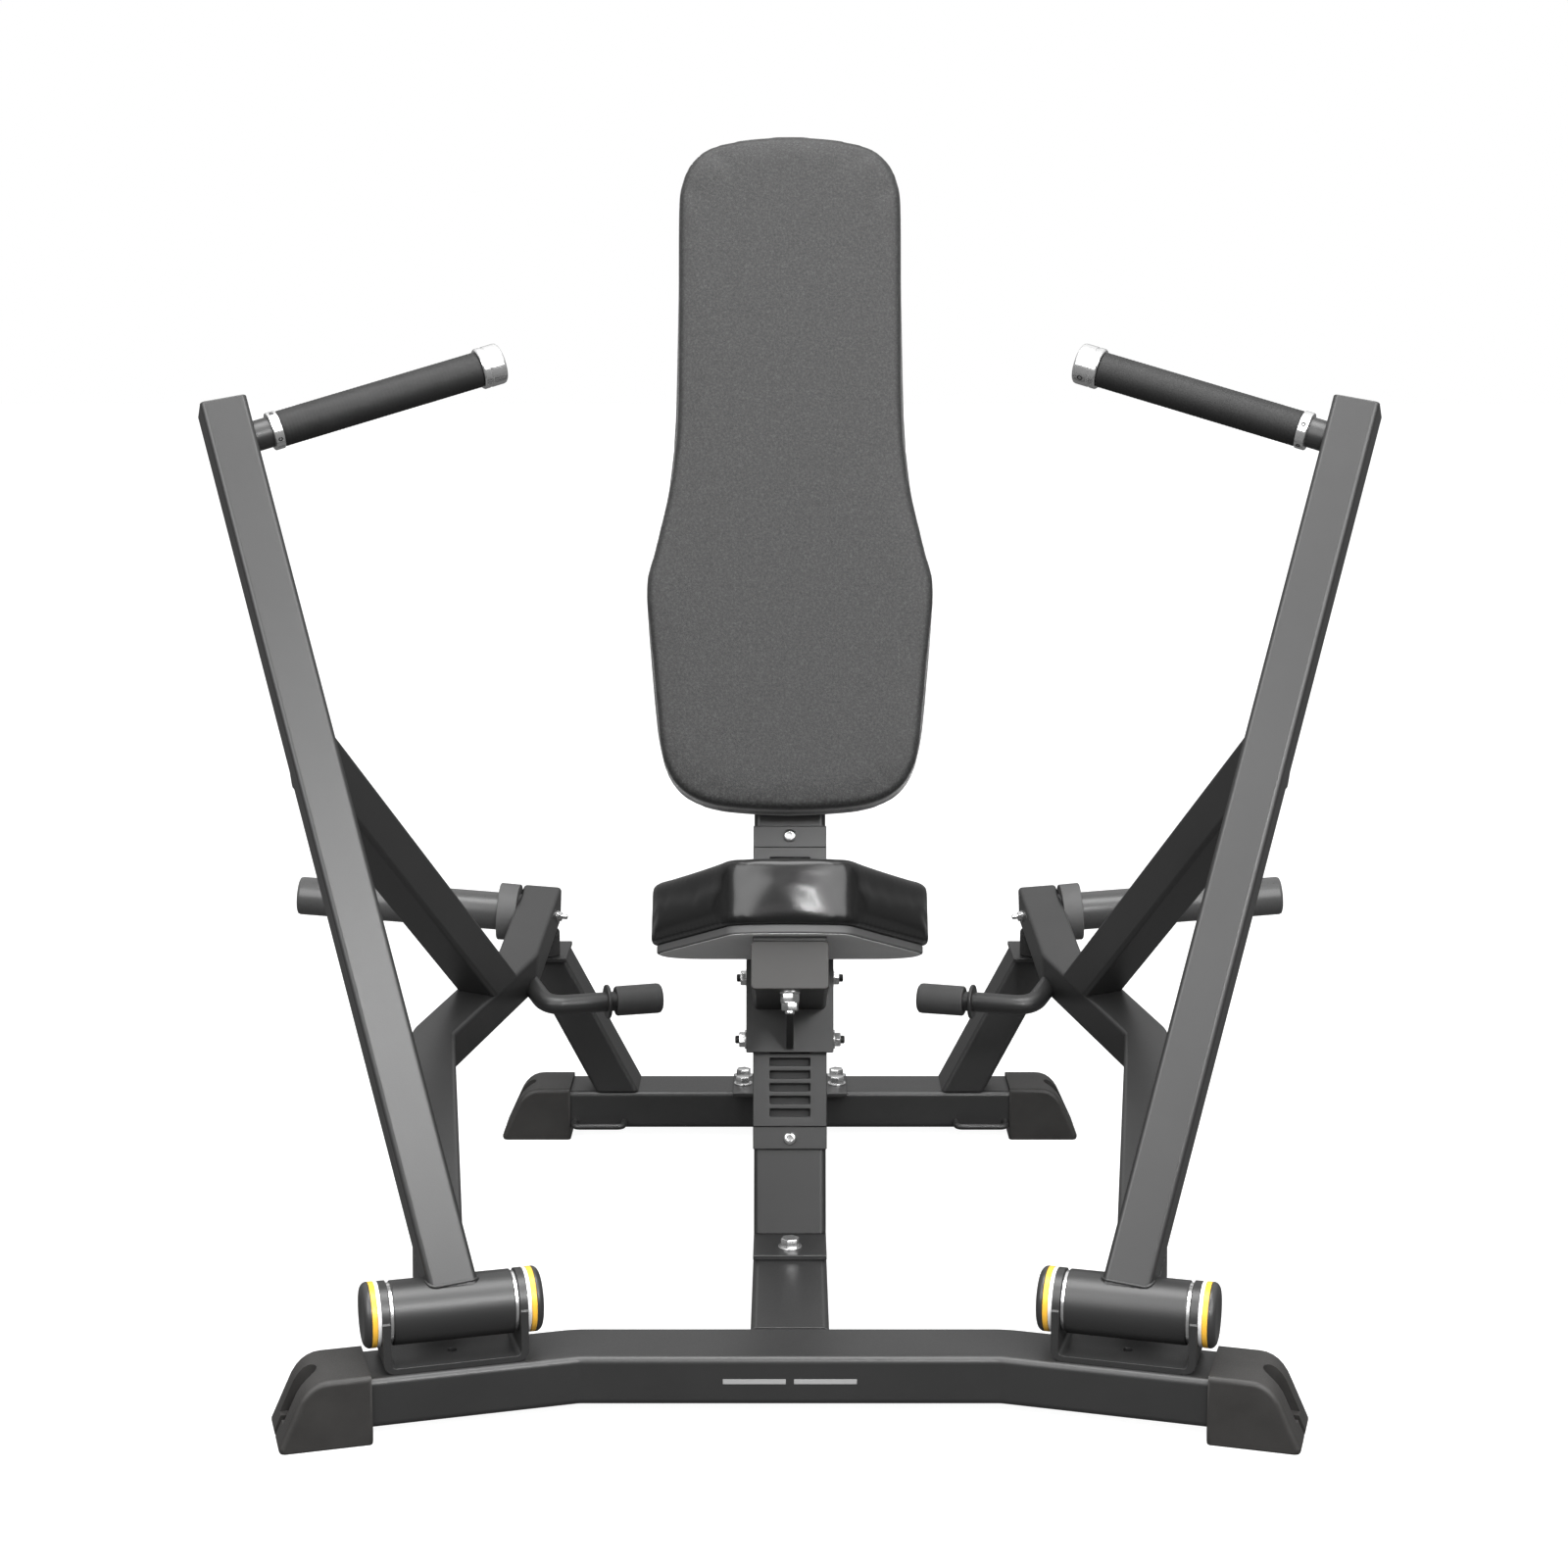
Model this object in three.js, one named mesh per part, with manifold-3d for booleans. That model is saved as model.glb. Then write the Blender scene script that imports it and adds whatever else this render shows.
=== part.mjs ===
// Plate loaded chest press machine with two independent converging arms.
// Millimetres, +Z up, the user faces -Y, left and right are as seen from the front.

import * as THREE from 'three';
import { mergeVertices } from 'three/addons/utils/BufferGeometryUtils.js';
import Module from 'manifold-3d';

const wasm = await Module();
wasm.setup();

// ---------------------------------------------------------------- dimensions

// Y of the front face of the front base's straight middle
const frontFaceY = -452.64;
const fitGap = 0.3;
const tubeWall = 3;
const cornerRadius = 5;

// base
const baseUnderside = 15;
const baseTop = 65;
const baseDepth = 80;
const wingAngle = THREE.MathUtils.degToRad(16);
const wingStartX = 207.6;
const wingToBoot = 202.7;
const bootLength = 87;
const bootGrip = 44;
const bootWidth = 87;
const bootHeight = 69.5;
const baseSpacing = 905;
const rearBootInnerX = 290;

// post and back pad
const postFootY = 336;
const postLean = 0.284;
const postWidth = 80;
const postDepth = 50;
const postLength = 1150;
const padBoardThickness = 15;
const padTop = 1240;
const padBottom = 470;
const padThickness = 60;

// seat rack and carriage, measured up the post from its foot
const rackStart = 100;
const rackEnd = 460;
const slotPitch = 14;
const carriageStart = 207;
const carriageEnd = 311;
const carriageFront = 26;

// seat, tilted with its front edge up
const seatTilt = THREE.MathUtils.degToRad(20);
const seatTubeFront = new THREE.Vector3(0, 183, 441.9);

// arms, in a frame on the pivot with +Y back and +Z up
const pivotAlongWing = 118.6;
const pivotHeight = 115.6;
const housingRadius = 31.5;
const housingHalf = 59.5;
const earInner = 63.5;
const earOuter = 71;
const shaftRadius = 12.5;
const armLean = THREE.MathUtils.degToRad(21.85);
const armSpread = THREE.MathUtils.degToRad(10.26);
const armOffset = 4.7;
const armLength = 948;
const armWidth = 48;
const armDepth = 50;
const linkRise = THREE.MathUtils.degToRad(12);
const linkSize = 50;
const linkTop = 32;
const handleAngle = THREE.MathUtils.degToRad(16.75);

// ---------------------------------------------------------------- materials

const charcoal = () => new THREE.MeshStandardMaterial({ color: 0x4b4c4d, roughness: 0.5, metalness: 0.3 });
const bootRubber = () => new THREE.MeshStandardMaterial({ color: 0x3e3c3a, roughness: 0.8, metalness: 0 });
const blackRubber = () => new THREE.MeshStandardMaterial({ color: 0x2e2e2e, roughness: 0.85, metalness: 0 });
const blackPlastic = () => new THREE.MeshStandardMaterial({ color: 0x303033, roughness: 0.4, metalness: 0 });
const chrome = () => new THREE.MeshStandardMaterial({ color: 0xd9dadb, roughness: 0.15, metalness: 1 });
const steel = () => new THREE.MeshStandardMaterial({ color: 0xa9abad, roughness: 0.35, metalness: 1 });
const vinyl = () => new THREE.MeshStandardMaterial({ color: 0x474747, roughness: 0.6, metalness: 0 });
const boardPaint = () => new THREE.MeshStandardMaterial({ color: 0x808080, roughness: 0.7, metalness: 0 });

// ---------------------------------------------------------------- helpers

const V = (x, y, z) => new THREE.Vector3(x, y, z);

function addPart(parent, name, geometry, material, matrix) {
  const mesh = new THREE.Mesh(geometry, material);
  mesh.name = name;
  if (matrix) {
    matrix.decompose(mesh.position, mesh.quaternion, mesh.scale);
  }
  parent.add(mesh);
  return mesh;
}

function toSolid(geometry, matrix) {
  const bare = geometry.clone();
  bare.deleteAttribute('normal');
  bare.deleteAttribute('uv');
  if (matrix) {
    bare.applyMatrix4(matrix);
  }
  const merged = mergeVertices(bare, 1e-4);
  return new wasm.Manifold(new wasm.Mesh({
    numProp: 3,
    vertProperties: Float32Array.from(merged.attributes.position.array),
    triVerts: Uint32Array.from(merged.index.array),
  }));
}

function fromSolid(solid) {
  const mesh = solid.getMesh();
  const geometry = new THREE.BufferGeometry();
  geometry.setAttribute('position', new THREE.BufferAttribute(new Float32Array(mesh.vertProperties), 3));
  geometry.setIndex(new THREE.BufferAttribute(new Uint32Array(mesh.triVerts), 1));
  geometry.computeVertexNormals();
  return geometry;
}

function roundedRect(width, height, radius) {
  const shape = new THREE.Shape();
  const x = width / 2;
  const y = height / 2;
  shape.moveTo(-x + radius, -y);
  shape.lineTo(x - radius, -y);
  shape.absarc(x - radius, -y + radius, radius, -Math.PI / 2, 0, false);
  shape.lineTo(x, y - radius);
  shape.absarc(x - radius, y - radius, radius, 0, Math.PI / 2, false);
  shape.lineTo(-x + radius, y);
  shape.absarc(-x + radius, y - radius, radius, Math.PI / 2, Math.PI, false);
  shape.lineTo(-x, -y + radius);
  shape.absarc(-x + radius, -y + radius, radius, Math.PI, 1.5 * Math.PI, false);
  return shape;
}

function extrude(shape, length, segments = 3) {
  return new THREE.ExtrudeGeometry(shape, { depth: length, bevelEnabled: false, curveSegments: segments });
}

// a frame whose Z runs from p to q and whose X is as near to the hint as it can be
function along(p, q, hint) {
  const z = q.clone().sub(p).normalize();
  const x = hint.clone().addScaledVector(z, -hint.dot(z)).normalize();
  const y = new THREE.Vector3().crossVectors(z, x);
  return new THREE.Matrix4().makeBasis(x, y, z).setPosition(p);
}

function hollowTube(width, height, length) {
  const shape = roundedRect(width, height, cornerRadius);
  shape.holes.push(roundedRect(width - 2 * tubeWall, height - 2 * tubeWall, cornerRadius - 2));
  return extrude(shape, length);
}

// a solid cylinder along +Z from zero
function rod(radius, length, segments = 32) {
  const geometry = new THREE.CylinderGeometry(radius, radius, length, segments);
  geometry.rotateX(Math.PI / 2);
  geometry.translate(0, 0, length / 2);
  return geometry;
}

// a turned shape from [radius, height] pairs, about +Z
function turned(points, segments = 32) {
  const profile = points.map(([r, z]) => new THREE.Vector2(r, z));
  if (THREE.ShapeUtils.area(profile) < 0) {
    profile.reverse();
  }
  const geometry = new THREE.LatheGeometry(profile, segments);
  geometry.rotateX(Math.PI / 2);
  geometry.rotateZ(Math.PI / 2);
  return geometry;
}

function ring(outer, inner, length, segments = 48) {
  return turned([[inner, 0], [outer, 0], [outer, length], [inner, length], [inner, 0]], segments);
}

function block(x0, x1, y0, y1, z0, z1) {
  const geometry = new THREE.BoxGeometry(x1 - x0, y1 - y0, z1 - z0);
  geometry.translate((x0 + x1) / 2, (y0 + y1) / 2, (z0 + z1) / 2);
  return geometry;
}

// everything on the far side of a plane: the side that the normal points to is kept
function behind(point, normal) {
  const hint = Math.abs(normal.x) < 0.9 ? V(1, 0, 0) : V(0, 1, 0);
  const frame = along(point, point.clone().sub(normal), hint);
  return toSolid(block(-2500, 2500, -2500, 2500, 0, 2500), frame);
}

// offsets an open centre line to one side, with mitred corners
function offsetLine(points, distance) {
  const result = [];
  for (let i = 0; i < points.length; i += 1) {
    const before = points[Math.max(i - 1, 0)];
    const here = points[i];
    const after = points[Math.min(i + 1, points.length - 1)];
    const d0 = (i > 0 ? here.clone().sub(before) : after.clone().sub(here)).normalize();
    const d1 = (i < points.length - 1 ? after.clone().sub(here) : here.clone().sub(before)).normalize();
    const n0 = new THREE.Vector2(-d0.y, d0.x);
    const n1 = new THREE.Vector2(-d1.y, d1.x);
    const mitre = n0.clone().add(n1).normalize();
    result.push(here.clone().addScaledVector(mitre, distance / mitre.dot(n0)));
  }
  return result;
}

function ribbon(points, width) {
  const left = offsetLine(points, width / 2);
  const right = offsetLine(points, -width / 2).reverse();
  return new THREE.Shape([...left, ...right]);
}

// a box section tube along a bent centre line in the XY plane, open at both ends or closed at one
function bentTube(points, width, height, closedEnd = -1) {
  const bevel = cornerRadius - 1;
  const outer = new THREE.ExtrudeGeometry(ribbon(points, width - 2 * bevel), {
    depth: height - 2 * bevel,
    bevelEnabled: true,
    bevelSize: bevel,
    bevelThickness: bevel,
    bevelSegments: 3,
  });
  outer.translate(0, 0, -height / 2 + bevel);
  const first = points[0].clone().sub(points[1]).normalize();
  const last = points[points.length - 1].clone().sub(points[points.length - 2]).normalize();
  const long = points.map((p) => p.clone());
  long[0].addScaledVector(first, closedEnd === 0 ? -4 : 30);
  long[long.length - 1].addScaledVector(last, closedEnd === points.length - 1 ? -4 : 30);
  const inner = extrude(ribbon(long, width - 2 * tubeWall), height - 2 * tubeWall);
  inner.translate(0, 0, -height / 2 + tubeWall);
  return toSolid(outer).subtract(toSolid(inner));
}

// ---------------------------------------------------------------- frame

const group = new THREE.Group();
group.name = 'chest_press_machine';
const machine = new THREE.Group();
machine.name = 'machine';
machine.position.y = frontFaceY;
group.add(machine);

const postUp = V(0, Math.sin(postLean), Math.cos(postLean));
const postOut = V(0, -Math.cos(postLean), Math.sin(postLean));
const postFoot = V(0, postFootY, baseTop);
const onPost = (x, out, up) => postFoot.clone().addScaledVector(postOut, out).addScaledVector(postUp, up).add(V(x, 0, 0));
// local X is the machine's X, local Y runs up the post, local Z points out at the user
const postFrame = new THREE.Matrix4().makeBasis(V(1, 0, 0), postUp, postOut).setPosition(postFoot);

function wingPoint(side, distance, back) {
  const x = wingStartX + distance * Math.cos(wingAngle) + back * Math.sin(wingAngle);
  const y = -distance * Math.sin(wingAngle) + back * Math.cos(wingAngle);
  return new THREE.Vector2(side * x, y);
}

function buildFrontBase() {
  const bendX = wingStartX + (baseDepth / 2) * Math.tan(wingAngle / 2);
  const line = [
    wingPoint(-1, wingToBoot + bootGrip - 4, baseDepth / 2),
    new THREE.Vector2(-bendX, baseDepth / 2),
    new THREE.Vector2(bendX, baseDepth / 2),
    wingPoint(1, wingToBoot + bootGrip - 4, baseDepth / 2),
  ];
  const solid = bentTube(line, baseDepth, baseTop - baseUnderside);
  const geometry = fromSolid(solid);
  const mesh = addPart(machine, 'front_base_tube', geometry, charcoal());
  mesh.position.z = (baseUnderside + baseTop) / 2;
}

function buildRearBase() {
  const half = rearBootInnerX + bootGrip;
  const geometry = hollowTube(baseDepth, baseTop - baseUnderside, 2 * half);
  const centre = V(-half, baseSpacing + baseDepth / 2, (baseUnderside + baseTop) / 2);
  addPart(machine, 'rear_base_tube', geometry, charcoal(), along(centre, centre.clone().add(V(1, 0, 0)), V(0, 1, 0)));
}

function buildRail() {
  const start = baseDepth + fitGap;
  const end = baseSpacing - fitGap;
  const geometry = hollowTube(postWidth, baseTop - baseUnderside, end - start);
  const from = V(0, start, (baseUnderside + baseTop) / 2);
  addPart(machine, 'main_rail', geometry, charcoal(), along(from, V(0, end, from.z), V(1, 0, 0)));
}

function buildRearJointPlate() {
  let solid = toSolid(block(-75, 75, baseSpacing - 26, baseSpacing + 66, baseTop + fitGap, baseTop + 6.3));
  for (const x of [-62, 62]) {
    for (const y of [16, 52]) {
      const head = rod(8.5, 8, 6);
      head.translate(x, baseSpacing + y, baseTop + 6);
      solid = solid.add(toSolid(head));
    }
  }
  addPart(machine, 'rear_joint_plate', fromSolid(solid), charcoal());
}

function buildPost() {
  const tube = hollowTube(postWidth, postDepth, postLength + 40);
  const from = onPost(0, -postDepth / 2, -40);
  let solid = toSolid(tube, along(from, onPost(0, -postDepth / 2, 0), V(1, 0, 0)));
  const head = onPost(0, -postDepth / 2, postLength);
  const topPlate = along(head.clone().addScaledVector(postUp, -4), head, V(1, 0, 0));
  solid = solid.add(toSolid(extrude(roundedRect(postWidth, postDepth, cornerRadius), 4), topPlate));
  solid = solid.subtract(behind(V(0, postFootY, baseTop + 4), V(0, 0, 1)));
  const footFront = postFootY - 65;
  const footBack = postFootY + postDepth + 44;
  solid = solid.add(toSolid(block(-40, 40, footFront, footBack, baseTop + fitGap, baseTop + 6.3)));
  for (const y of [footFront + 25, footBack - 18]) {
    const bolt = rod(8.5, 8, 6);
    bolt.translate(0, y, baseTop + 6);
    solid = solid.add(toSolid(bolt));
  }
  const drain = rod(9, 20, 16);
  drain.translate(0, postFootY + postDepth / 2, baseTop - 5);
  solid = solid.subtract(toSolid(drain));
  addPart(machine, 'post', fromSolid(solid), charcoal());
}

function buildRearStrut() {
  const top = onPost(0, -postDepth, 700);
  const bottom = V(0, 830, baseTop);
  const from = bottom.clone().sub(top.clone().sub(bottom).normalize().multiplyScalar(60));
  const length = from.distanceTo(top) + 60;
  let solid = toSolid(hollowTube(50, 50, length), along(from, top, V(1, 0, 0)));
  solid = solid.subtract(behind(V(0, 0, baseTop + fitGap), V(0, 0, 1)));
  const back = onPost(0, -postDepth - fitGap, 0);
  solid = solid.subtract(behind(back, postOut.clone().negate()));
  addPart(machine, 'rear_strut', fromSolid(solid), charcoal());
}

function buildSeatRack() {
  let solid = toSolid(block(-41, 41, rackStart, rackEnd, fitGap, 6.3));
  solid = solid.add(toSolid(block(-41, 41, rackStart + 25, rackEnd - 24, 6, 10)));
  for (let up = rackStart + 36; up < rackEnd - 32; up += slotPitch) {
    solid = solid.subtract(toSolid(block(-23.5, 23.5, up - 4.2, up + 4.2, 0, 12)));
  }
  for (const up of [rackStart + 12, rackEnd - 11]) {
    const screw = rod(6, 3, 12);
    screw.translate(0, up, 6);
    solid = solid.add(toSolid(screw));
  }
  addPart(machine, 'seat_rack', fromSolid(solid), charcoal(), postFrame);
}

function padOutline(inset) {
  const shape = new THREE.Shape();
  const right = [
    new THREE.Vector2(0, padBottom + inset),
    new THREE.Vector2(60, padBottom + 2 + inset),
    new THREE.Vector2(104, padBottom + 11 + inset),
    new THREE.Vector2(131 - inset, padBottom + 32 + inset),
    new THREE.Vector2(144 - inset, padBottom + 64),
    new THREE.Vector2(152 - inset, 605),
    new THREE.Vector2(159 - inset, 682),
    new THREE.Vector2(161.5 - inset, 708),
    new THREE.Vector2(160.5 - inset, 733),
    new THREE.Vector2(148 - inset, 778),
    new THREE.Vector2(137.6 - inset, 823),
    new THREE.Vector2(131 - inset, 867),
    new THREE.Vector2(128 - inset, 912),
    new THREE.Vector2(127.5 - inset, 1000),
    new THREE.Vector2(127.5 - inset, 1165),
    new THREE.Vector2(119 - inset, padTop - 33 - inset),
    new THREE.Vector2(92, padTop - 9 - inset),
    new THREE.Vector2(50, padTop - 2 - inset),
    new THREE.Vector2(0, padTop - inset),
  ];
  right.forEach((p, i) => (i === 0 ? shape.moveTo(p.x, p.y) : shape.lineTo(p.x, p.y)));
  right.slice(1, -1).reverse().forEach((p) => shape.lineTo(-p.x, p.y));
  return shape;
}

function softSlab(shape, bottom, top, edge) {
  const geometry = new THREE.ExtrudeGeometry(shape, {
    depth: top - bottom - 2 * edge,
    bevelEnabled: true,
    bevelSize: edge,
    bevelThickness: edge,
    bevelOffset: -edge,
    bevelSegments: 2,
    curveSegments: 4,
  });
  geometry.translate(0, 0, bottom + edge);
  return geometry;
}

function buildBackPad() {
  const board = extrude(padOutline(12), padBoardThickness - fitGap);
  board.translate(0, 0, fitGap);
  addPart(machine, 'back_pad_board', board, boardPaint(), postFrame);
  const start = padBoardThickness + fitGap;
  addPart(machine, 'back_pad_cushion', softSlab(padOutline(0), start, start + padThickness, 8), vinyl(), postFrame);
}

// ---------------------------------------------------------------- boots

function bootProfile() {
  const shape = new THREE.Shape();
  const top = bootHeight - 3;
  shape.moveTo(3, 0);
  shape.lineTo(bootLength - 4, 0);
  shape.absarc(bootLength - 4, 4, 4, -Math.PI / 2, 0.35, false);
  shape.lineTo(bootLength - 17, 42);
  shape.quadraticCurveTo(bootLength - 27, top, bootLength - 47, top);
  shape.lineTo(0, top);
  shape.lineTo(0, 14);
  return shape;
}

function bootGeometry() {
  const side = new THREE.ExtrudeGeometry(bootProfile(), {
    depth: bootWidth - 12,
    bevelEnabled: true,
    bevelSize: 6,
    bevelThickness: 6,
    bevelOffset: -3,
    bevelSegments: 3,
    curveSegments: 6,
  });
  side.translate(0, 0, -(bootWidth - 12) / 2);
  side.rotateX(Math.PI / 2);
  let solid = toSolid(side);
  solid = solid.subtract(behind(V(0, 0, 0), V(0, 0, 1)));
  solid = solid.subtract(behind(V(0, 0, 0), V(1, 0, 0)));
  const room = fitGap;
  const pocket = block(-10, bootGrip + 1, -baseDepth / 2 - room, baseDepth / 2 + room, baseUnderside - room, baseTop + room);
  solid = solid.subtract(toSolid(pocket));
  // anchor recess, open at the outer face
  const recess = rod(15.5, 80, 24);
  recess.translate(63.5, 0, 20);
  solid = solid.subtract(toSolid(recess)).subtract(toSolid(block(63.5, 150, -15.5, 15.5, 20, 100)));
  const hole = rod(5.5, 80, 16);
  hole.translate(77, 0, -10);
  solid = solid.subtract(toSolid(hole)).subtract(toSolid(block(77, 150, -5.5, 5.5, -10, 60)));
  return fromSolid(solid);
}

function buildBoots() {
  for (const [label, side] of [['left', -1], ['right', 1]]) {
    const front = addPart(machine, `front_${label}_boot`, bootGeometry(), bootRubber());
    const at = wingPoint(side, wingToBoot, baseDepth / 2);
    front.position.set(at.x, at.y, 0);
    front.rotation.z = side > 0 ? -wingAngle : Math.PI + wingAngle;
    const rear = addPart(machine, `rear_${label}_boot`, bootGeometry(), bootRubber());
    rear.position.set(side * rearBootInnerX, baseSpacing + baseDepth / 2, 0);
    rear.rotation.z = side > 0 ? 0 : Math.PI;
  }
}

// ---------------------------------------------------------------- seat

const seatOut = V(0, -Math.cos(seatTilt), Math.sin(seatTilt));
const seatUp = V(0, Math.sin(seatTilt), Math.cos(seatTilt));
const onSeat = (x, out, up) => seatTubeFront.clone().addScaledVector(seatOut, out).addScaledVector(seatUp, up).add(V(x, 0, 0));
// local X is the machine's X reversed, local Y points to the seat's front, local Z is up from it
const seatFrame = new THREE.Matrix4().makeBasis(V(-1, 0, 0), seatOut, seatUp).setPosition(seatTubeFront);

function seatOutline(inset) {
  const shape = new THREE.Shape();
  const sides = [
    [74, -18], [82, -46], [92, -70], [105, -93], [121, -115], [138, -136], [148, -152], [152, -170], [150, -190],
  ];
  const right = [
    new THREE.Vector2(0, 27 - inset),
    new THREE.Vector2(54 - inset / 2, 27 - inset),
    new THREE.Vector2(63 - inset, 22 - inset),
    new THREE.Vector2(68 - inset, 8 - inset / 2),
    ...sides.map(([x, y]) => new THREE.Vector2(x - inset, y)),
    new THREE.Vector2(138 - inset, -212 + inset),
    new THREE.Vector2(112 - inset, -228 + inset),
    new THREE.Vector2(0, -231 + inset),
  ];
  right.forEach((p, i) => (i === 0 ? shape.moveTo(p.x, p.y) : shape.lineTo(p.x, p.y)));
  right.slice(1, -1).reverse().forEach((p) => shape.lineTo(-p.x, p.y));
  return shape;
}

function buildSeat() {
  // tube with a mounting plate on top, a gusset below and the seat bolt through it
  const from = onSeat(0, 0, -25);
  let arm = toSolid(hollowTube(80, 50, 330), along(from, onSeat(0, -10, -25), V(1, 0, 0)));
  const endPlate = extrude(roundedRect(80, 50, cornerRadius), 4);
  arm = arm.add(toSolid(endPlate, along(from, onSeat(0, -10, -25), V(1, 0, 0))));
  arm = arm.add(toSolid(block(-38, 38, -200, -2, -0.5, 5), seatFrame));
  const gusset = new THREE.Shape();
  const under = (out) => {
    const d = onSeat(0, out, -48).sub(postFoot);
    return new THREE.Vector2(d.dot(postOut), d.dot(postUp));
  };
  const near = under(-100);
  const far = under(-260);
  gusset.moveTo(carriageFront - 3, carriageStart + 4);
  gusset.lineTo(carriageFront + 12, carriageStart + 4);
  gusset.lineTo(near.x, near.y);
  gusset.lineTo(far.x, far.y);
  const web = extrude(gusset, 8);
  web.translate(0, 0, -4);
  const sideways = new THREE.Vector3().crossVectors(postOut, postUp);
  const webFrame = new THREE.Matrix4().makeBasis(postOut, postUp, sideways).setPosition(postFoot);
  arm = arm.add(toSolid(web, webFrame));
  const bolt = rod(6, 30, 12);
  bolt.translate(0, -24, -74);
  const nut = rod(10.5, 21, 6);
  nut.translate(0, -24, -71);
  arm = arm.add(toSolid(bolt, seatFrame)).add(toSolid(nut, seatFrame));
  arm = arm.subtract(behind(onPost(0, carriageFront + fitGap, 0), postOut));
  addPart(machine, 'seat_arm', fromSolid(arm), charcoal());

  const board = extrude(seatOutline(7), 8.7);
  board.translate(0, 0, 5.3);
  addPart(machine, 'seat_board', board, boardPaint(), seatFrame);
  addPart(machine, 'seat_cushion', softSlab(seatOutline(0), 14.5, 79, 8), vinyl(), seatFrame);

  // carriage around the post, open at the back
  let carriage = toSolid(block(-48.4, 48.4, carriageStart, carriageEnd, carriageFront - 6, carriageFront));
  for (const x of [-48.4, 41.6]) {
    carriage = carriage.add(toSolid(block(x, x + 6.8, carriageStart, carriageEnd, -74, carriageFront)));
  }
  const cross = (radius, up, out, half, segments) => {
    const geometry = rod(radius, 2 * half, segments);
    geometry.translate(0, 0, -half);
    geometry.rotateY(Math.PI / 2);
    geometry.translate(0, up, out);
    return geometry;
  };
  carriage = carriage.subtract(toSolid(cross(5.2, 292, -62, 60, 24)));
  carriage = carriage.subtract(toSolid(cross(4.3, 221, 15, 60, 24)));
  addPart(machine, 'seat_carriage', fromSolid(carriage), charcoal(), postFrame);

  let axle = toSolid(cross(5, 292, -62, 57, 24));
  axle = axle.add(toSolid(cross(8.5, 292, -62, 55.5, 6)).subtract(toSolid(block(-48.8, 48.8, 200, 320, -100, 100))));
  addPart(machine, 'carriage_axle', fromSolid(axle), steel(), postFrame);
  let pin = toSolid(cross(4, 221, 15, 57, 24));
  pin = pin.add(toSolid(cross(7.5, 221, 15, 55.5, 6)).subtract(toSolid(block(-48.8, 48.8, 200, 320, -100, 100))));
  addPart(machine, 'carriage_pin', fromSolid(pin), steel(), postFrame);
  const roller = ring(11.5, 5.1, 80, 24);
  roller.translate(0, 0, -40);
  roller.rotateY(Math.PI / 2);
  roller.translate(0, 292, -62);
  addPart(machine, 'carriage_roller', roller, blackPlastic(), postFrame);
}

// ---------------------------------------------------------------- arms

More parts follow.
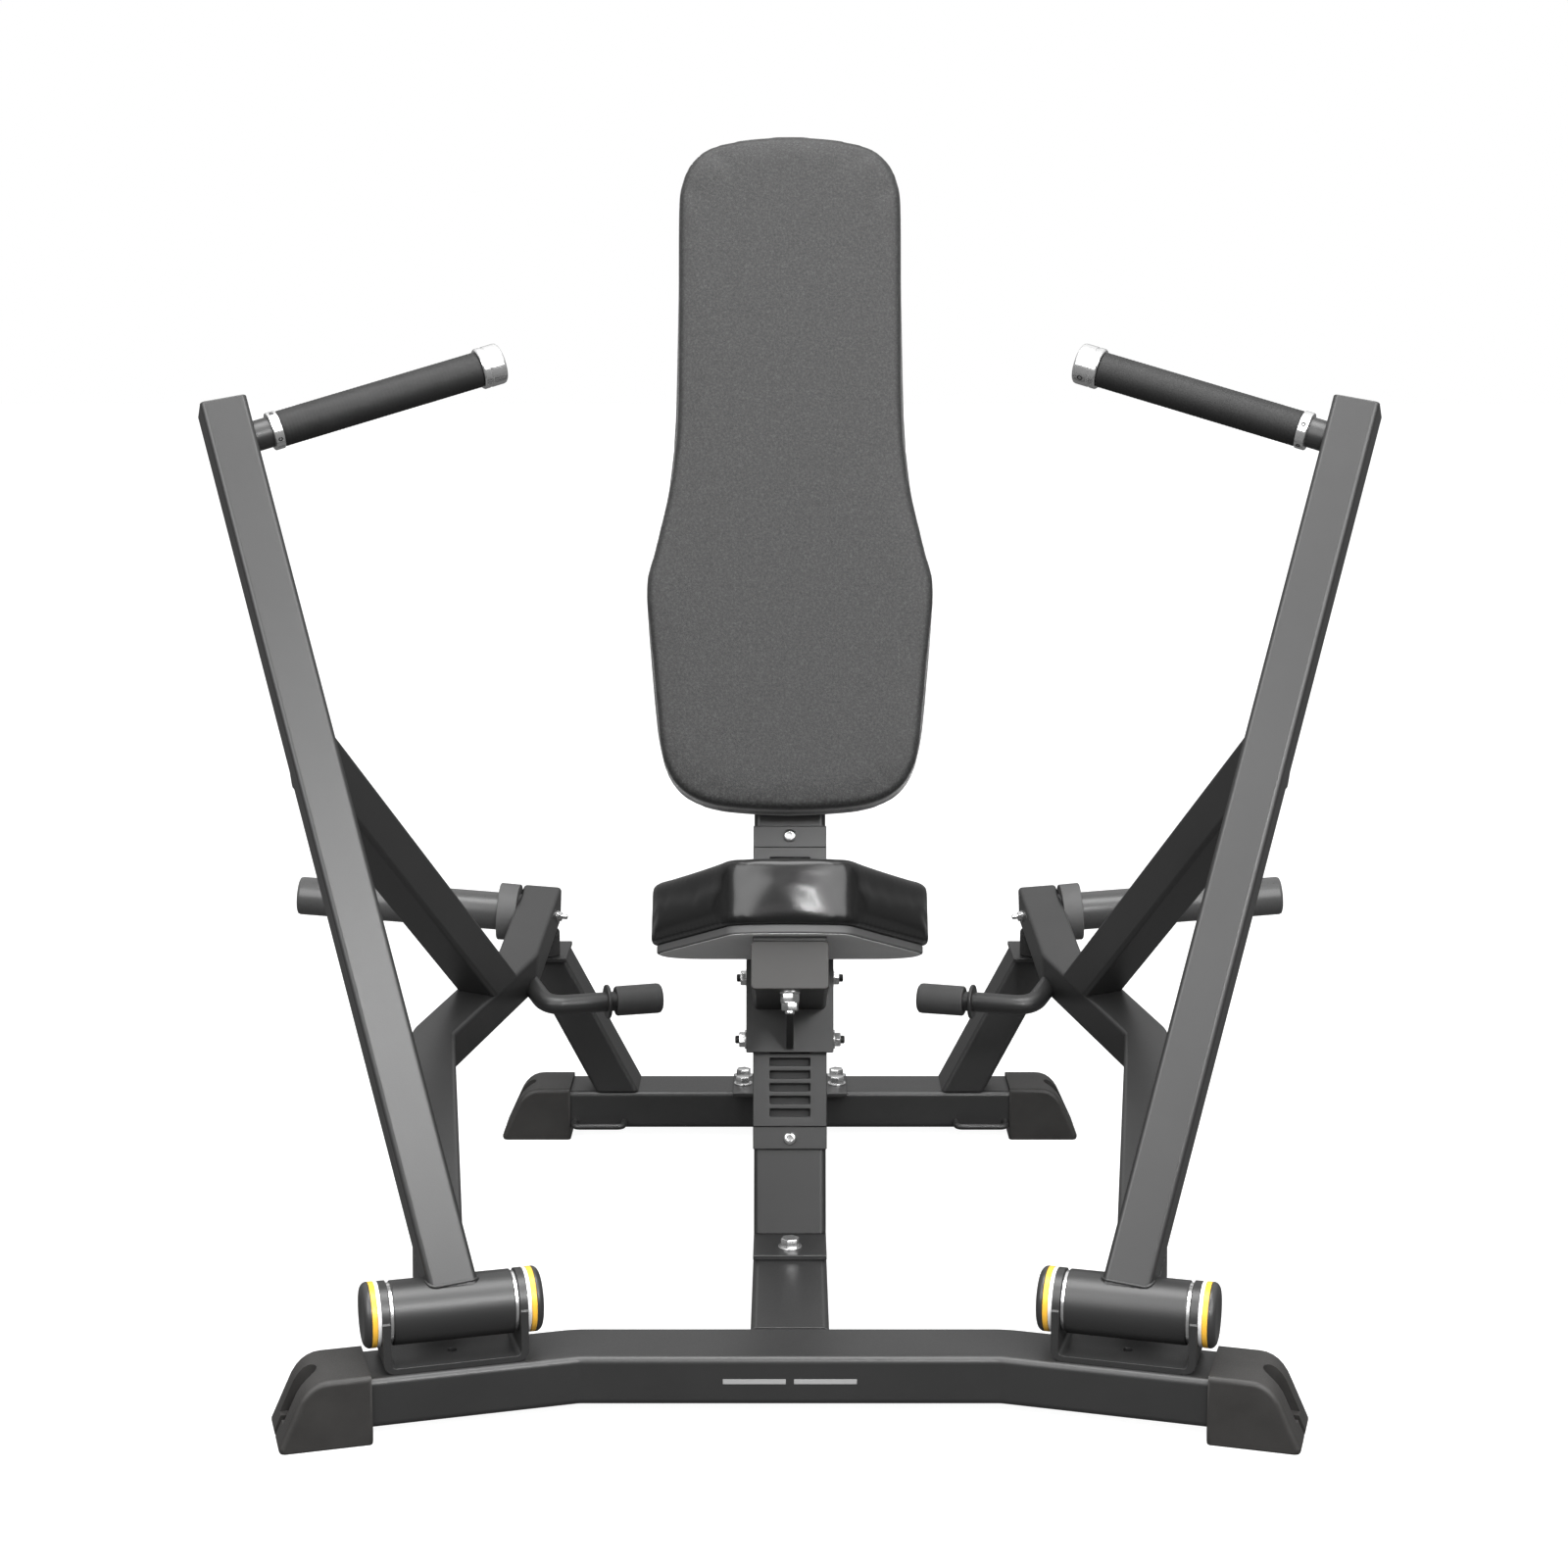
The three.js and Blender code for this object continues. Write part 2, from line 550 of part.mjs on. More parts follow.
function buildSide(label, side) {
  const inX = -side;
  const pivot = new THREE.Group();
  pivot.name = `${label}_pivot`;
  const at = wingPoint(side, pivotAlongWing, baseDepth / 2);
  pivot.position.set(at.x, at.y, pivotHeight);
  pivot.rotation.z = -side * wingAngle;
  machine.add(pivot);
  pivot.updateMatrixWorld(true);
  machine.updateMatrixWorld(true);

  // a cylinder shape whose +Z becomes the pivot axis, pointing outward
  const outward = new THREE.Matrix4().makeRotationY(side * Math.PI / 2);
  const floor = baseTop - pivotHeight;

  // pivot bracket: base plate, two ears, one hole for the shaft through both
  let bracket = toSolid(block(-earOuter, earOuter, -34, 36, floor + fitGap, floor + 6));
  const ear = new THREE.Shape();
  ear.moveTo(-34, floor + 1);
  ear.lineTo(36, floor + 1);
  ear.lineTo(32, 0);
  ear.absarc(0, 0, 32, 0, Math.PI, false);
  for (const x of [-earOuter, earInner]) {
    const plate = extrude(ear, earOuter - earInner, 10);
    const frame = new THREE.Matrix4().makeBasis(V(0, 1, 0), V(0, 0, 1), V(1, 0, 0)).setPosition(V(x, 0, 0));
    bracket = bracket.add(toSolid(plate, frame));
  }
  const bore = rod(shaftRadius + 0.15, 200, 48);
  bore.translate(0, 0, -100);
  bracket = bracket.subtract(toSolid(bore, outward));
  const drain = rod(5, 20, 16);
  drain.translate(0, 0, floor - 6);
  bracket = bracket.subtract(toSolid(drain));
  addPart(pivot, `${label}_pivot_bracket`, fromSolid(bracket), charcoal());

  const shaft = rod(shaftRadius, 2 * earOuter + 14, 48);
  shaft.translate(0, 0, -earOuter - 7);
  addPart(pivot, `${label}_pivot_shaft`, shaft, steel(), outward);

  const capProfile = [[13, 0], [32, 0], [32, 9], [30.5, 13], [26, 15.2], [21, 15.2], [17, 13], [0, 12],
    [0, 8], [13, 8], [13, 0]];
  for (const [end, direction] of [['outer', 1], ['inner', -1]]) {
    const cap = turned(capProfile, 32);
    cap.translate(0, 0, earOuter + fitGap);
    if (direction < 0) {
      cap.rotateY(Math.PI);
    }
    addPart(pivot, `${label}_${end}_pivot_cap`, cap, blackPlastic(), outward);
    const bearing = turned([[12.55, 63.2], [12.55, 42], [25.8, 42], [25.8, 59.8], [30, 59.8], [30, 63.2],
      [12.55, 63.2]], 48);
    if (direction < 0) {
      bearing.rotateY(Math.PI);
    }
    addPart(pivot, `${label}_${end}_bearing`, bearing, steel(), outward);
  }

  // housing
  const housing = ring(housingRadius, 26, 2 * housingHalf, 48);
  housing.translate(0, 0, -housingHalf);
  addPart(pivot, `${label}_arm_housing`, housing, charcoal(), outward);
  const aroundHousing = toSolid(rod(housingRadius + fitGap, 300, 48).translate(0, 0, -150), outward);

  // upright
  const armUp = V(0, Math.sin(armLean), Math.cos(armLean));
  const armFront = V(0, -Math.cos(armLean), Math.sin(armLean));
  const inward = V(inX, 0, 0);
  const tubeUp = armUp.clone().multiplyScalar(Math.cos(armSpread)).addScaledVector(inward, -Math.sin(armSpread));
  const across = inward.clone().multiplyScalar(Math.cos(armSpread)).addScaledVector(armUp, Math.sin(armSpread));
  const root = V(inX * armOffset, 0, 0);
  const onArm = (s, out, k) => root.clone().addScaledVector(across, s).addScaledVector(armFront, out).addScaledVector(tubeUp, k);
  const rise = V(0, -Math.sin(linkRise), Math.cos(linkRise));
  const run = V(0, Math.cos(linkRise), Math.sin(linkRise));
  const onLink = (a, r, n) => V(inX * a, 0, 0).addScaledVector(run, r).addScaledVector(rise, n);

  let upright = toSolid(hollowTube(armWidth, armDepth, armLength + 30), along(onArm(0, 0, -30), onArm(0, 0, 0), across));
  const armEnd = along(onArm(0, 0, armLength - 4), onArm(0, 0, armLength), across);
  upright = upright.add(toSolid(extrude(roundedRect(armWidth, armDepth, cornerRadius), 4), armEnd));
  upright = upright.subtract(aroundHousing).subtract(behind(V(0, 0, 5), V(0, 0, 1)));
  addPart(pivot, `${label}_arm_upright`, fromSolid(upright), charcoal());

  // link: bent tube running back and up to the weight horn
  const line = [[-12, 0], [61.2, 526.6], [196.4, 721.3], [263.3, 913.9]];
  const points = line.map(([a, r]) => new THREE.Vector2(inX * a, r));
  const linkFrame = new THREE.Matrix4().makeBasis(V(1, 0, 0), run, rise);
  linkFrame.setPosition(onLink(0, 0, linkTop - linkSize / 2));
  const bent = side > 0 ? points.slice() : points.slice().reverse();
  const hornEnd = side > 0 ? points.length - 1 : 0;
  let link = bentTube(bent, linkSize, linkSize, hornEnd).transform(linkFrame.toArray());
  const armBack = onArm(0, -armDepth / 2 - fitGap, 0);
  const backward = armFront.clone().negate();
  link = link.subtract(aroundHousing).subtract(behind(armBack, backward));
  addPart(pivot, `${label}_link`, fromSolid(link), charcoal());

  // brace between the upright's back and the link's top
  const braceTop = V(inX * -96, 244.6, 511.8);
  const braceFoot = V(inX * 144.4, 621.9, 164.9);
  const braceWay = braceFoot.clone().sub(braceTop).normalize();
  const worldX = V(Math.cos(wingAngle), side * Math.sin(wingAngle), 0);
  const braceFrom = braceTop.clone().addScaledVector(braceWay, -70);
  const braceLength = braceFoot.distanceTo(braceTop) + 140;
  const braceWide = worldX.clone().addScaledVector(braceWay, -worldX.dot(braceWay)).normalize();
  braceWide.applyAxisAngle(braceWay, THREE.MathUtils.degToRad(-side * 12.6));
  const braceFrame = along(braceFrom, braceFoot, braceWide);
  let brace = toSolid(hollowTube(50, 50, braceLength), braceFrame);
  const braceEnd = toSolid(extrude(roundedRect(50, 50, cornerRadius), braceLength), braceFrame);
  brace = brace.add(braceEnd.intersect(behind(onArm(-15.5, 0, 0), across)));
  brace = brace.subtract(behind(onArm(-19, 0, 0), across)).subtract(behind(armBack, backward));
  brace = brace.subtract(behind(onLink(0, 0, linkTop + fitGap), rise));
  addPart(pivot, `${label}_brace`, fromSolid(brace), charcoal());

  // weight horn with its rubber collar, on the link's outer side
  const hornAngle = THREE.MathUtils.degToRad(4.6);
  const hornWay = worldX.clone().multiplyScalar(side * Math.cos(hornAngle)).add(V(0, 0, Math.sin(hornAngle)));
  const hornFrom = onLink(216.5, 894, linkTop - linkSize / 2);
  const hornStart = hornFrom.clone().addScaledVector(hornWay, -16);
  const horn = turned([[0, 290], [22, 290], [24.5, 287.5], [24.5, 0], [21, 0], [21, 284], [0, 284]], 32);
  const collar = ring(37, 24.8, 30, 32);
  const hornFrame = along(hornStart, hornFrom, V(0, 0, 1));
  const linkSide = onLink(263.3, 913.9, 0);
  const way = V(inX * (263.3 - 196.4), 0, 0).addScaledVector(run, 913.9 - 721.3).normalize();
  const sideOut = new THREE.Vector3().crossVectors(way, rise).multiplyScalar(side).normalize();
  const face = linkSide.clone().addScaledVector(sideOut, linkSize / 2 + fitGap);
  const keep = behind(face, sideOut);
  addPart(pivot, `${label}_weight_horn`, fromSolid(toSolid(horn, hornFrame).subtract(keep)), charcoal());
  addPart(pivot, `${label}_horn_collar`, fromSolid(toSolid(collar, hornFrame).subtract(keep)), blackRubber());

  // handle
  const handleWay = inward.clone().multiplyScalar(Math.cos(handleAngle)).addScaledVector(armUp, Math.sin(handleAngle));
  const handleRef = onArm(33.4, 0, 910.4);
  const handleFrame = along(handleRef, handleRef.clone().add(handleWay), V(0, 0, 1));
  let bar = toSolid(rod(15.9, 268, 32).translate(0, 0, -28), handleFrame);
  bar = bar.add(toSolid(ring(20, 12, 10, 32).translate(0, 0, 9.6), handleFrame));
  bar = bar.subtract(behind(onArm(armWidth / 2 + fitGap, 0, 0), across));
  addPart(pivot, `${label}_handle_bar`, fromSolid(bar), steel());
  addPart(pivot, `${label}_grip`, ring(18.8, 16.2, 219, 32), blackRubber(), handleFrame.clone().multiply(
    new THREE.Matrix4().makeTranslation(0, 0, 20)));
  const endCap = turned([[0, 240.3], [21, 240.3], [21.8, 241.5], [21.8, 264.5], [20.5, 266], [0, 266]], 32);
  addPart(pivot, `${label}_handle_cap`, endCap, chrome(), handleFrame);

  // assist peg on the link's inner side, with its rubber tip
  const pegRoot = onLink(209, 724, -7);
  const pegKnee = onLink(219, 645, -7);
  const pegWay = V(inX, 0, 0);
  const pegTip = pegKnee.clone().addScaledVector(pegWay, 137);
  const pegCurve = new THREE.CurvePath();
  const bendIn = pegKnee.clone().addScaledVector(pegRoot.clone().sub(pegKnee).normalize(), 20);
  const bendOut = pegKnee.clone().addScaledVector(pegWay, 20);
  pegCurve.add(new THREE.LineCurve3(pegRoot, bendIn));
  pegCurve.add(new THREE.QuadraticBezierCurve3(bendIn, pegKnee, bendOut));
  pegCurve.add(new THREE.LineCurve3(bendOut, pegTip));
  const round = new THREE.Shape();
  round.absarc(0, 0, 12, 0, 2 * Math.PI, false);
  const pegBar = new THREE.ExtrudeGeometry(round, { steps: 14, extrudePath: pegCurve, curveSegments: 8 });
  const pegFace = onLink(219, 710, 0);
  const second = V(inX * (196.4 - 61.2), 0, 0).addScaledVector(run, 721.3 - 526.6).normalize();
  const secondIn = new THREE.Vector3().crossVectors(rise, second).multiplyScalar(side).normalize();
  let peg = toSolid(pegBar);
  const washerFrame = along(pegTip.clone().addScaledVector(pegWay, -63), pegTip, V(0, 0, 1));
  peg = peg.add(toSolid(rod(21, 4, 24), washerFrame));
  peg = peg.subtract(behind(pegFace.addScaledVector(secondIn, fitGap), secondIn));
  addPart(pivot, `${label}_assist_peg`, fromSolid(peg), charcoal());
  const tipFrame = along(pegTip.clone().addScaledVector(pegWay, -52), pegTip, V(0, 0, 1));
  const tip = turned([[0, 58], [16.5, 58], [18.5, 56], [18.5, 0], [12.3, 0], [12.3, 52.4], [0, 52.4]], 32);
  addPart(pivot, `${label}_peg_tip`, tip, blackRubber(), tipFrame);

  // stop upright on the rear base, with a plate and a rubber bumper on top
  const footAt = V(side * 228, baseSpacing + baseDepth / 2, baseTop);
  const headAt = V(side * 321.7, footAt.y, 245);
  const lean = headAt.clone().sub(footAt).normalize();
  const longer = footAt.clone().addScaledVector(lean, -40);
  let stop = toSolid(hollowTube(50, 80, 300), along(longer, headAt, V(1, 0, 0)));
  stop = stop.subtract(behind(V(0, 0, baseTop + fitGap), V(0, 0, 1)));
  stop = stop.subtract(behind(V(0, 0, 245), V(0, 0, -1)));
  const plateX = side * 321.5;
  stop = stop.add(toSolid(block(plateX - 30.5, plateX + 30.5, 888, 986, 244.5, 250)));
  addPart(machine, `${label}_stop_upright`, fromSolid(stop), charcoal());
  const rubber = turned([[0, 250.3], [20, 250.3], [20, 300], [0, 300]], 24);
  rubber.translate(side * 321, 912, 0);
  const underLink = onLink(255, 880, linkTop - linkSize - fitGap).applyMatrix4(pivot.matrix);
  const downward = rise.clone().negate().transformDirection(pivot.matrix);
  const bumper = toSolid(rubber).subtract(behind(underLink, downward));
  addPart(machine, `${label}_bumper`, fromSolid(bumper), blackRubber());

  // rod loop low on the rear base's front face
  const loopPath = new THREE.CurvePath();
  const y0 = baseSpacing - fitGap;
  const y1 = baseSpacing - 22;
  const z1 = 24;
  loopPath.add(new THREE.LineCurve3(V(side * 219, y0, z1), V(side * 219, y1 + 6, z1)));
  loopPath.add(new THREE.QuadraticBezierCurve3(V(side * 219, y1 + 6, z1), V(side * 219, y1, z1), V(side * 225, y1, z1)));
  loopPath.add(new THREE.LineCurve3(V(side * 225, y1, z1), V(side * 278, y1, z1)));
  loopPath.add(new THREE.QuadraticBezierCurve3(V(side * 278, y1, z1), V(side * 284, y1, z1), V(side * 284, y1 + 6, z1)));
  loopPath.add(new THREE.LineCurve3(V(side * 284, y1 + 6, z1), V(side * 284, y0, z1)));
  const wire = new THREE.Shape();
  wire.absarc(0, 0, 4, 0, 2 * Math.PI, false);
  const loop = new THREE.ExtrudeGeometry(wire, { steps: 24, extrudePath: loopPath, curveSegments: 4 });
  addPart(machine, `${label}_rod_loop`, loop, charcoal());
}

buildFrontBase();
buildRearBase();
buildRail();
buildRearJointPlate();
buildPost();
buildRearStrut();
buildSeatRack();
buildBackPad();
buildBoots();
buildSeat();
buildSide('left', -1);
buildSide('right', 1);

export default group;
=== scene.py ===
# Chest press machine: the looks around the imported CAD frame.
# Lengths are written in millimetres and turned to metres where a mesh is made.
import math

import bpy
import bmesh
from mathutils import Matrix, Vector, noise


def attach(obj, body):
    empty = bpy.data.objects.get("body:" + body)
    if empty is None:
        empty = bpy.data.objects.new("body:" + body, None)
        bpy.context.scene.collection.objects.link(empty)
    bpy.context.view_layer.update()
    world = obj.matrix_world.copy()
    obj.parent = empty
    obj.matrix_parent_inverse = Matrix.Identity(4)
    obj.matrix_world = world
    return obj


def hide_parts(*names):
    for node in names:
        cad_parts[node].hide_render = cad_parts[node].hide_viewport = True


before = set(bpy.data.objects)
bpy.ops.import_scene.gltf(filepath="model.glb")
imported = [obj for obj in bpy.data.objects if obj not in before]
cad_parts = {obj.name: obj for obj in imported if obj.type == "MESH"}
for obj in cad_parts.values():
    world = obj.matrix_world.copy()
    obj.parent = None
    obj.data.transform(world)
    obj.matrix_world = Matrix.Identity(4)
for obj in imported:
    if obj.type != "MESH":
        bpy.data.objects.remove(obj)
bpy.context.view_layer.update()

MM = 0.001
FRONT_FACE_Y = -452.64
BASE_TOP = 65.0
FLAT_PLATE = (65.2, 71.3)
WING = math.radians(16)
LEAN = 0.284
SEAT_TILT = math.radians(20)
LINK_RISE = math.radians(12)
ARM_LEAN = math.radians(21.85)
ARM_SPREAD = math.radians(10.26)
HANDLE_ANGLE = math.radians(16.75)


def V(x, y, z):
    return Vector((x, y, z))


X, Y, Z = V(1, 0, 0), V(0, 1, 0), V(0, 0, 1)


# ------------------------------------------------------------------ places

POST_UP = V(0, math.sin(LEAN), math.cos(LEAN))
POST_OUT = V(0, -math.cos(LEAN), math.sin(LEAN))
POST_FOOT = V(0, 336 + FRONT_FACE_Y, BASE_TOP)
SEAT_OUT = V(0, -math.cos(SEAT_TILT), math.sin(SEAT_TILT))
SEAT_UP = V(0, math.sin(SEAT_TILT), math.cos(SEAT_TILT))
SEAT_TOP = V(0, 183 + FRONT_FACE_Y, 441.9)


def on_post(x, out, up):
    return POST_FOOT + POST_OUT * out + POST_UP * up + X * x


def on_seat(x, out, up):
    return SEAT_TOP + SEAT_OUT * out + SEAT_UP * up + X * x


def basis(x, y, z, origin):
    m = Matrix((x, y, z)).transposed().to_4x4()
    m.translation = origin
    return m


POST_FRAME = basis(X, POST_UP, POST_OUT, POST_FOOT)
SEAT_FRAME = basis(-X, SEAT_OUT, SEAT_UP, SEAT_TOP)


def along(p, q, hint):
    """A frame at p whose Z runs to q and whose X is as near to the hint as it can be."""
    z = (q - p).normalized()
    x = (hint - z * hint.dot(z)).normalized()
    return basis(x, z.cross(x), z, p)


def wing(side, distance, back, z=0.0):
    x = 207.6 + distance * math.cos(WING) + back * math.sin(WING)
    y = -distance * math.sin(WING) + back * math.cos(WING)
    return V(side * x, y + FRONT_FACE_Y, z)


# ------------------------------------------------------------------ materials


def new_material(name):
    mat = bpy.data.materials.new(name)
    mat.use_nodes = True
    nodes, links = mat.node_tree.nodes, mat.node_tree.links
    shader = nodes["Principled BSDF"]
    place = nodes.new("ShaderNodeTexCoord")
    return mat, nodes, links, shader, place.outputs["Object"]


def grain(nodes, links, place, scale, detail=3.0, rough=0.55):
    n = nodes.new("ShaderNodeTexNoise")
    n.inputs["Scale"].default_value = scale
    n.inputs["Detail"].default_value = detail
    n.inputs["Roughness"].default_value = rough
    links.new(place, n.inputs["Vector"])
    return n.outputs["Fac"]


def ramp(nodes, links, fac, stops):
    r = nodes.new("ShaderNodeValToRGB")
    while len(r.color_ramp.elements) < len(stops):
        r.color_ramp.elements.new(0.5)
    for e, (at, c) in zip(r.color_ramp.elements, stops):
        e.position = at
        e.color = (*c, 1) if len(c) == 3 else c
    links.new(fac, r.inputs["Fac"])
    return r.outputs["Color"]


def spread(nodes, links, fac, low, high, start=0.3, end=0.7):
    m = nodes.new("ShaderNodeMapRange")
    m.inputs["From Min"].default_value = start
    m.inputs["From Max"].default_value = end
    m.inputs["To Min"].default_value = low
    m.inputs["To Max"].default_value = high
    links.new(fac, m.inputs["Value"])
    return m.outputs["Result"]


def bump(nodes, links, shader, height, strength, distance, under=None):
    b = nodes.new("ShaderNodeBump")
    b.inputs["Strength"].default_value = strength
    b.inputs["Distance"].default_value = distance
    links.new(height, b.inputs["Height"])
    if under is not None:
        links.new(under, b.inputs["Normal"])
    links.new(b.outputs["Normal"], shader.inputs["Normal"])
    return b.outputs["Normal"]


def tone(value, warm=0.0):
    """A linear grey from an sRGB level of 0 to 255, a little warm or cool."""
    c = value / 255
    lin = c / 12.92 if c <= 0.04045 else ((c + 0.055) / 1.055) ** 2.4
    return (lin * (1 + warm), lin, lin * (1 - warm))


def powder_coat(name, level, rough, specular, warm=0.0):
    mat, nodes, links, shader, place = new_material(name)
    cloud = grain(nodes, links, place, 9.0)
    links.new(
        ramp(nodes, links, cloud, [(0.3, tone(level - 2, warm)), (0.7, tone(level + 2, warm))]),
        shader.inputs["Base Color"],
    )
    fine = grain(nodes, links, place, 700.0, 2.0)
    links.new(spread(nodes, links, fine, rough - 0.03, rough + 0.03), shader.inputs["Roughness"])
    bump(nodes, links, shader, fine, 0.12, 0.0004)
    shader.inputs["Specular IOR Level"].default_value = specular
    return mat


def vinyl_skin(name, level, rough, specular, depth, sheen):
    mat, nodes, links, shader, place = new_material(name)
    speckle = grain(nodes, links, place, 420.0, 4.0, 0.7)
    dark, light = tone(level - 16 * depth), tone(level + 19 * depth)
    links.new(
        ramp(nodes, links, speckle, [(0.3, dark), (0.52, tone(level)), (0.72, light)]),
        shader.inputs["Base Color"],
    )
    cells = nodes.new("ShaderNodeTexVoronoi")
    cells.feature = "DISTANCE_TO_EDGE"
    cells.inputs["Scale"].default_value = 620.0
    links.new(place, cells.inputs["Vector"])
    pores = spread(nodes, links, cells.outputs["Distance"], 0.0, 1.0, 0.0, 0.25)
    first = bump(nodes, links, shader, pores, 0.25 * depth, 0.0004)
    wrinkle = grain(nodes, links, place, 160.0, 3.0, 0.6)
    bump(nodes, links, shader, wrinkle, 0.2 * depth, 0.0006, first)
    uneven = spread(nodes, links, speckle, rough - 0.06 * depth, rough + 0.06 * depth)
    links.new(uneven, shader.inputs["Roughness"])
    shader.inputs["Specular IOR Level"].default_value = specular
    shader.inputs["Sheen Weight"].default_value = sheen
    shader.inputs["Sheen Roughness"].default_value = 0.25
    return mat


def soft_rubber(name, level, rough, warm=0.0, scale=900.0, depth=0.0003):
    mat, nodes, links, shader, place = new_material(name)
    cloud = grain(nodes, links, place, 30.0)
    links.new(
        ramp(nodes, links, cloud, [(0.3, tone(level - 3, warm)), (0.7, tone(level + 3, warm))]),
        shader.inputs["Base Color"],
    )
    fine = grain(nodes, links, place, scale, 3.0)
    bump(nodes, links, shader, fine, 0.3, depth)
    links.new(spread(nodes, links, fine, rough - 0.05, rough + 0.05), shader.inputs["Roughness"])
    shader.inputs["Specular IOR Level"].default_value = 0.35
    return mat


def bright_metal(name, level, rough, metal=1.0):
    mat, nodes, links, shader, place = new_material(name)
    cloud = grain(nodes, links, place, 60.0)
    links.new(
        ramp(nodes, links, cloud, [(0.3, tone(level - 8)), (0.7, tone(level + 4))]),
        shader.inputs["Base Color"],
    )
    links.new(spread(nodes, links, cloud, rough, rough + 0.06), shader.inputs["Roughness"])
    fine = grain(nodes, links, place, 1200.0, 2.0)
    bump(nodes, links, shader, fine, 0.04, 0.0002)
    shader.inputs["Metallic"].default_value = metal
    return mat


def gloss_plastic(name, colour, rough):
    mat, nodes, links, shader, place = new_material(name)
    cloud = grain(nodes, links, place, 40.0)
    dark = tuple(c * 0.93 for c in colour)
    links.new(ramp(nodes, links, cloud, [(0.3, dark), (0.7, colour)]), shader.inputs["Base Color"])
    fine = grain(nodes, links, place, 1100.0, 2.0)
    links.new(spread(nodes, links, fine, rough - 0.04, rough + 0.04), shader.inputs["Roughness"])
    bump(nodes, links, shader, fine, 0.05, 0.0002)
    return mat


FRAME = powder_coat("powder_coat", 40, 0.38, 0.6)
BOOT = soft_rubber("boot_rubber", 46, 0.46, 0.04)
RUBBER = soft_rubber("black_rubber", 52, 0.7)
GRIP = soft_rubber("grip_foam", 30, 0.6, 0.0, 520.0, 0.0006)
VINYL = vinyl_skin("grained_vinyl", 43, 0.5, 0.3, 1.0, 0.5)
# The seat vinyl is the pad's vinyl with a much darker base: painted shade on the seat's front. Its smoother,
# glossier finish is its own.
SHADED_SEAT_VINYL = vinyl_skin("seat_vinyl_painted_shade", 20, 0.25, 0.45, 0.15, 0.08)
BOARD = powder_coat("pad_board_paint", 84, 0.6, 0.3)
# Near-white paint for a thin sheet on the seat board's underside: painted light from below.
PAINTED_UNDERSIDE_LIGHT = powder_coat("board_underside_painted_light", 240, 0.8, 0.2)
CHROME = bright_metal("chrome_plate", 240, 0.14, 0.9)
WHITE_METAL = bright_metal("bright_ring", 250, 0.2, 0.35)
ZINC = bright_metal("zinc_plate", 222, 0.22, 0.95)
STEEL = bright_metal("turned_steel", 190, 0.3)
BLACK_PLASTIC = gloss_plastic("black_plastic", tone(50), 0.32)
YELLOW = gloss_plastic("yellow_ring_plastic", (0.86, 0.47, 0.05), 0.35)
# Near-black for the blackened bolt tips and set screws, and for the painted shadow sheet behind the rack
# slots.
DARK = gloss_plastic("blackened_steel_and_slot_shade", tone(18), 0.6)
SEAT_CAP = gloss_plastic("end_cap_plastic", tone(46, 0.05), 0.5)
HORN = powder_coat("smooth_coat", 68, 0.3, 0.5)
RUBBER_TIP = soft_rubber("tip_rubber", 66, 0.6)
COLLAR_RUBBER = soft_rubber("collar_rubber", 84, 0.6)
MARK = gloss_plastic("mark_paint", tone(150), 0.5)


# ------------------------------------------------------------------ mesh tools


def carve(bm, cutter):
    """Takes the cutter's solid out of a mesh."""
    pair = []
    for b in (bm, cutter):
        bmesh.ops.recalc_face_normals(b, faces=b.faces)
        mesh = bpy.data.meshes.new("carving")
        b.to_mesh(mesh)
        b.free()
        pair.append(bpy.data.objects.new("carving", mesh))
        bpy.context.scene.collection.objects.link(pair[-1])
    m = pair[0].modifiers.new("cut", "BOOLEAN")
    m.operation, m.solver, m.object = "DIFFERENCE", "EXACT", pair[1]
    shape = pair[0].evaluated_get(bpy.context.evaluated_depsgraph_get())
    out = bmesh.new()
    out.from_mesh(shape.to_mesh())
    for o in pair:
        bpy.data.objects.remove(o)
    return out


def relief(xs, ys, height, base, frame_):
    """A plate on a grid of cells, each with its own height, or none where it is open."""
    bm = bmesh.new()
    found = {}

    def vert(i, j, z):
        key = (i, j, z)
        if key not in found:
            found[key] = bm.verts.new(frame_ @ V(xs[i], ys[j], z))
        return found[key]

    nx, ny = len(xs) - 1, len(ys) - 1
    levels = sorted({height(i, j) for i in range(nx) for j in range(ny)} - {None})

    def tall(i, j):
        h = height(i, j) if 0 <= i < nx and 0 <= j < ny else None
        return base if h is None else h

    for i in range(nx):
        for j in range(ny):
            h = height(i, j)
            if h is None:
                continue
            for z in (base, h):
                bm.faces.new([vert(a, b, z) for a, b in ((i, j), (i + 1, j), (i + 1, j + 1), (i, j + 1))])
            sides = (((i - 1, j), (i, j), (i, j + 1)), ((i + 1, j), (i + 1, j), (i + 1, j + 1)),
                     ((i, j - 1), (i, j), (i + 1, j)), ((i, j + 1), (i, j + 1), (i + 1, j + 1)))
            for other, p, q in sides:
                low = tall(*other)
                steps = [base] + levels
                for z0, z1 in zip(steps, steps[1:]):
                    if low <= z0 and z1 <= h:
                        bm.faces.new((vert(*p, z0), vert(*q, z0), vert(*q, z1), vert(*p, z1)))
    return bm


